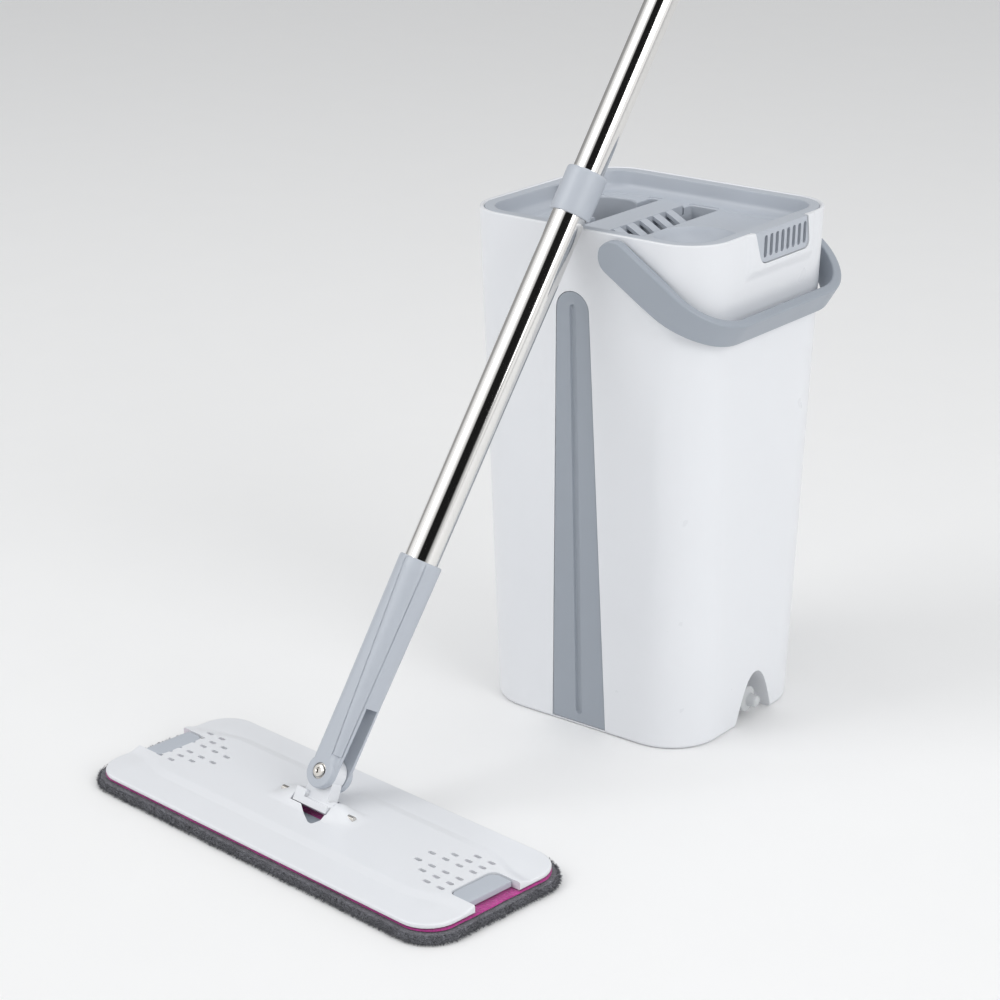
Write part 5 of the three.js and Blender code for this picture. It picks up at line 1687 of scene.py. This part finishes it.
class MOP_OT_pole(bpy.types.Operator):
    """Builds the telescopic tubes, the lock collar, the grip and the end cap."""

    bl_idname = "mop.pole"
    bl_label = "Pole"

    def execute(self, context):
        p = sizes("mop_pole")
        steel, grey = MADE["steel"], MADE["pale"]
        lower = tube("tube_lower", p.lower_r, p.wall, p.bore_foot + 0.3, p.lower_to)
        settle(lower, POLE, "pole_lower", "steel_tube", steel, "lower_tube")
        upper = tube("tube_upper", p.upper_r, p.wall, p.upper_from, p.upper_to)
        settle(upper, POLE, "pole_upper", "steel_tube", steel, "upper_tube")
        settle(lock_collar(p), POLE, "collar", "grey_plastic", grey, "lock_collar")
        grip = grip_sleeve(p)
        beads = grown(
            "beads", piece_of("seeds", [(0, 0, 0)], []), MADE["rings"], grey, count=12, pitch=9.2,
            radius=p.grip_r - 1.0, bead=0.8,
        )
        fuse(grip, shift(beads, None, (0, 0, p.grip_from + 14.4)))
        settle(grip, POLE, "pole_upper", "grey_plastic", grey, "grip")
        settle(from_node("cap", "end_cap", 0.9), BUCKET, "pole_upper", "grey_plastic", grey, "end_cap")
        return {"FINISHED"}


# ---------------------------------------------------------------- carried-over pieces
class MOP_OT_hidden(bpy.types.Operator):
    """Gives the pieces that stay as the frame has them their finishes."""

    bl_idname = "mop.hidden"
    bl_label = "Inner pieces"

    def execute(self, context):
        kept = {
            # The hinge retainer is a real part, but its grey is painted shade: it stands for the white
            # plastic seen in shadow through the plate's front pocket.
            "hinge_retainer": "grey",
            "retainer_screw_left": "nickel",
            "retainer_screw_right": "nickel",
            "clip_pin_left": "nickel",
            "clip_pin_right": "nickel",
            "hook_strip_left": "tape",
            "hook_strip_right": "tape",
            "collar_bush": "dark",
            "tube_guide": "dark",
        }
        for name, finish in kept.items():
            cad = frame["nodes"][name]
            cad.data.materials.clear()
            cad.data.materials.append(MADE[finish])
        return {"FINISHED"}


# ---------------------------------------------------------------- stage
# name, place, what it is turned to, side of the square, watts
LIGHTS = (
    ("key", (-1.6, -2.4, 2.6), (0, -0.1, 0.2), 1.8, 32),
    ("side", (2.6, -0.6, 1.6), (0, 0, 0.2), 1.6, 26),
    ("top", (0.1, 0.2, 3.0), (0, 0, 0), 2.2, 14),
)
CAMERA_PLACE = Vector((0.9981, -1.4609, 0.7977))
CAMERA_LOOK = Vector((-0.5751, 0.7422, -0.3441))
CAMERA_LENS = 93.39
ROOM_GLOW = 0.62
CARD_GLOW = 1.15
# share of the way round the room and how bright the cards are there
CARDS = (
    (0.0, 0.35), (0.04, 0.75), (0.08, 0.98), (0.22, 1.0), (0.258, 0.62), (0.288, 0.01), (0.41, 0.01),
    (0.44, 0.45), (0.475, 0.9), (0.62, 0.95), (0.72, 0.6), (0.80, 0.4), (0.90, 0.25), (1.0, 0.35),
)
FLOOR_REACH = 8.0


def add_light(name, place, aim, side, watts):
    data = bpy.data.lights.new(name, "AREA")
    data.shape, data.size, data.energy = "SQUARE", side, watts
    light = bpy.data.objects.new(name, data)
    light.location = place
    light.rotation_euler = (Vector(aim) - Vector(place)).to_track_quat("-Z", "Y").to_euler()
    bpy.context.scene.collection.objects.link(light)


def studio_world():
    """A pale room. Only what shines sees the cards around it, with a dark gap between them."""
    world = bpy.data.worlds.new("studio")
    world.use_nodes = True
    tree = world.node_tree
    plain = tree.nodes["Background"]
    plain.inputs["Color"].default_value = (0.95, 0.96, 0.97, 1)
    plain.inputs["Strength"].default_value = ROOM_GLOW
    way = node(tree, "ShaderNodeTexCoord").outputs["Generated"]
    parts = node(tree, "ShaderNodeSeparateXYZ", {0: way})
    turn = node(tree, "ShaderNodeMath", {0: parts.outputs["Y"], 1: parts.outputs["X"]}, operation="ARCTAN2")
    share = node(
        tree, "ShaderNodeMapRange", {"Value": turn.outputs[0], "From Min": -math.pi, "From Max": math.pi}
    )
    cards = node(tree, "ShaderNodeValToRGB", {0: share.outputs[0]})
    ramp = cards.color_ramp
    ramp.interpolation = "EASE"
    ramp.elements[0].color = (CARDS[0][1],) * 3 + (1,)
    ramp.elements[1].color = (CARDS[-1][1],) * 3 + (1,)
    for position, value in CARDS[1:-1]:
        ramp.elements.new(position).color = (value,) * 3 + (1,)
    shine = node(tree, "ShaderNodeBackground", {"Color": cards.outputs[0], "Strength": CARD_GLOW})
    seen = node(tree, "ShaderNodeLightPath")
    pick = node(tree, "ShaderNodeMixShader", {0: seen.outputs["Is Glossy Ray"]})
    tree.links.new(plain.outputs[0], pick.inputs[1])
    tree.links.new(shine.outputs[0], pick.inputs[2])
    tree.links.new(pick.outputs[0], tree.nodes["World Output"].inputs[0])
    bpy.context.scene.world = world


def add_camera():
    data = bpy.data.cameras.new("camera")
    data.lens, data.sensor_width = CAMERA_LENS, 36.0
    data.clip_start, data.clip_end = 0.05, 50.0
    camera = bpy.data.objects.new("camera", data)
    camera.location = CAMERA_PLACE
    camera.rotation_euler = CAMERA_LOOK.to_track_quat("-Z", "Y").to_euler()
    bpy.context.scene.collection.objects.link(camera)
    bpy.context.scene.camera = camera


class MOP_OT_stage(bpy.types.Operator):
    """Lays the pale floor, sets the soft lights and stands the camera."""

    bl_idname = "mop.stage"
    bl_label = "Stage"

    def execute(self, context):
        scene = context.scene
        add_camera()
        corners = [(FLOOR_REACH * x, FLOOR_REACH * y, 0) for x, y in ((-1, -1), (1, -1), (1, 1), (-1, 1))]
        floor = piece_of("floor", corners, [(0, 1, 2, 3)])
        floor.data.materials.append(plastic("floor", scene.mop_finish.floor, 0.6, 300.0, 0.00005, 0.985))
        studio_world()
        for light in LIGHTS:
            add_light(*light)
        scene.view_settings.view_transform = "Standard"
        return {"FINISHED"}


# ---------------------------------------------------------------- add-on
OPERATORS = (
    MOP_OT_stage, MOP_OT_tank, MOP_OT_tray, MOP_OT_drain, MOP_OT_bail,
    MOP_OT_head, MOP_OT_pad, MOP_OT_socket, MOP_OT_pole, MOP_OT_hidden,
)


class MOP_PT_panel(bpy.types.Panel):
    """Lists the pieces in the 3D view's sidebar."""

    bl_idname = "MOP_PT_panel"
    bl_label = "Mop and bucket"
    bl_space_type = "VIEW_3D"
    bl_region_type = "UI"
    bl_category = "Mop"

    def draw(self, context):
        for operator in OPERATORS:
            self.layout.operator(operator.bl_idname)


def register():
    for name, group in GROUPS.items():
        bpy.utils.register_class(group)
        setattr(bpy.types.Scene, name, PointerProperty(type=group))
    for cls in OPERATORS + (MOP_PT_panel,):
        bpy.utils.register_class(cls)


def unregister():
    for cls in reversed(OPERATORS + (MOP_PT_panel,)):
        bpy.utils.unregister_class(cls)
    for name, group in GROUPS.items():
        delattr(bpy.types.Scene, name)
        bpy.utils.unregister_class(group)


def main():
    register()
    make_finishes()
    for operator in OPERATORS:
        family, action = operator.bl_idname.split(".")
        getattr(getattr(bpy.ops, family), action)()


if __name__ == "__main__":
    main()
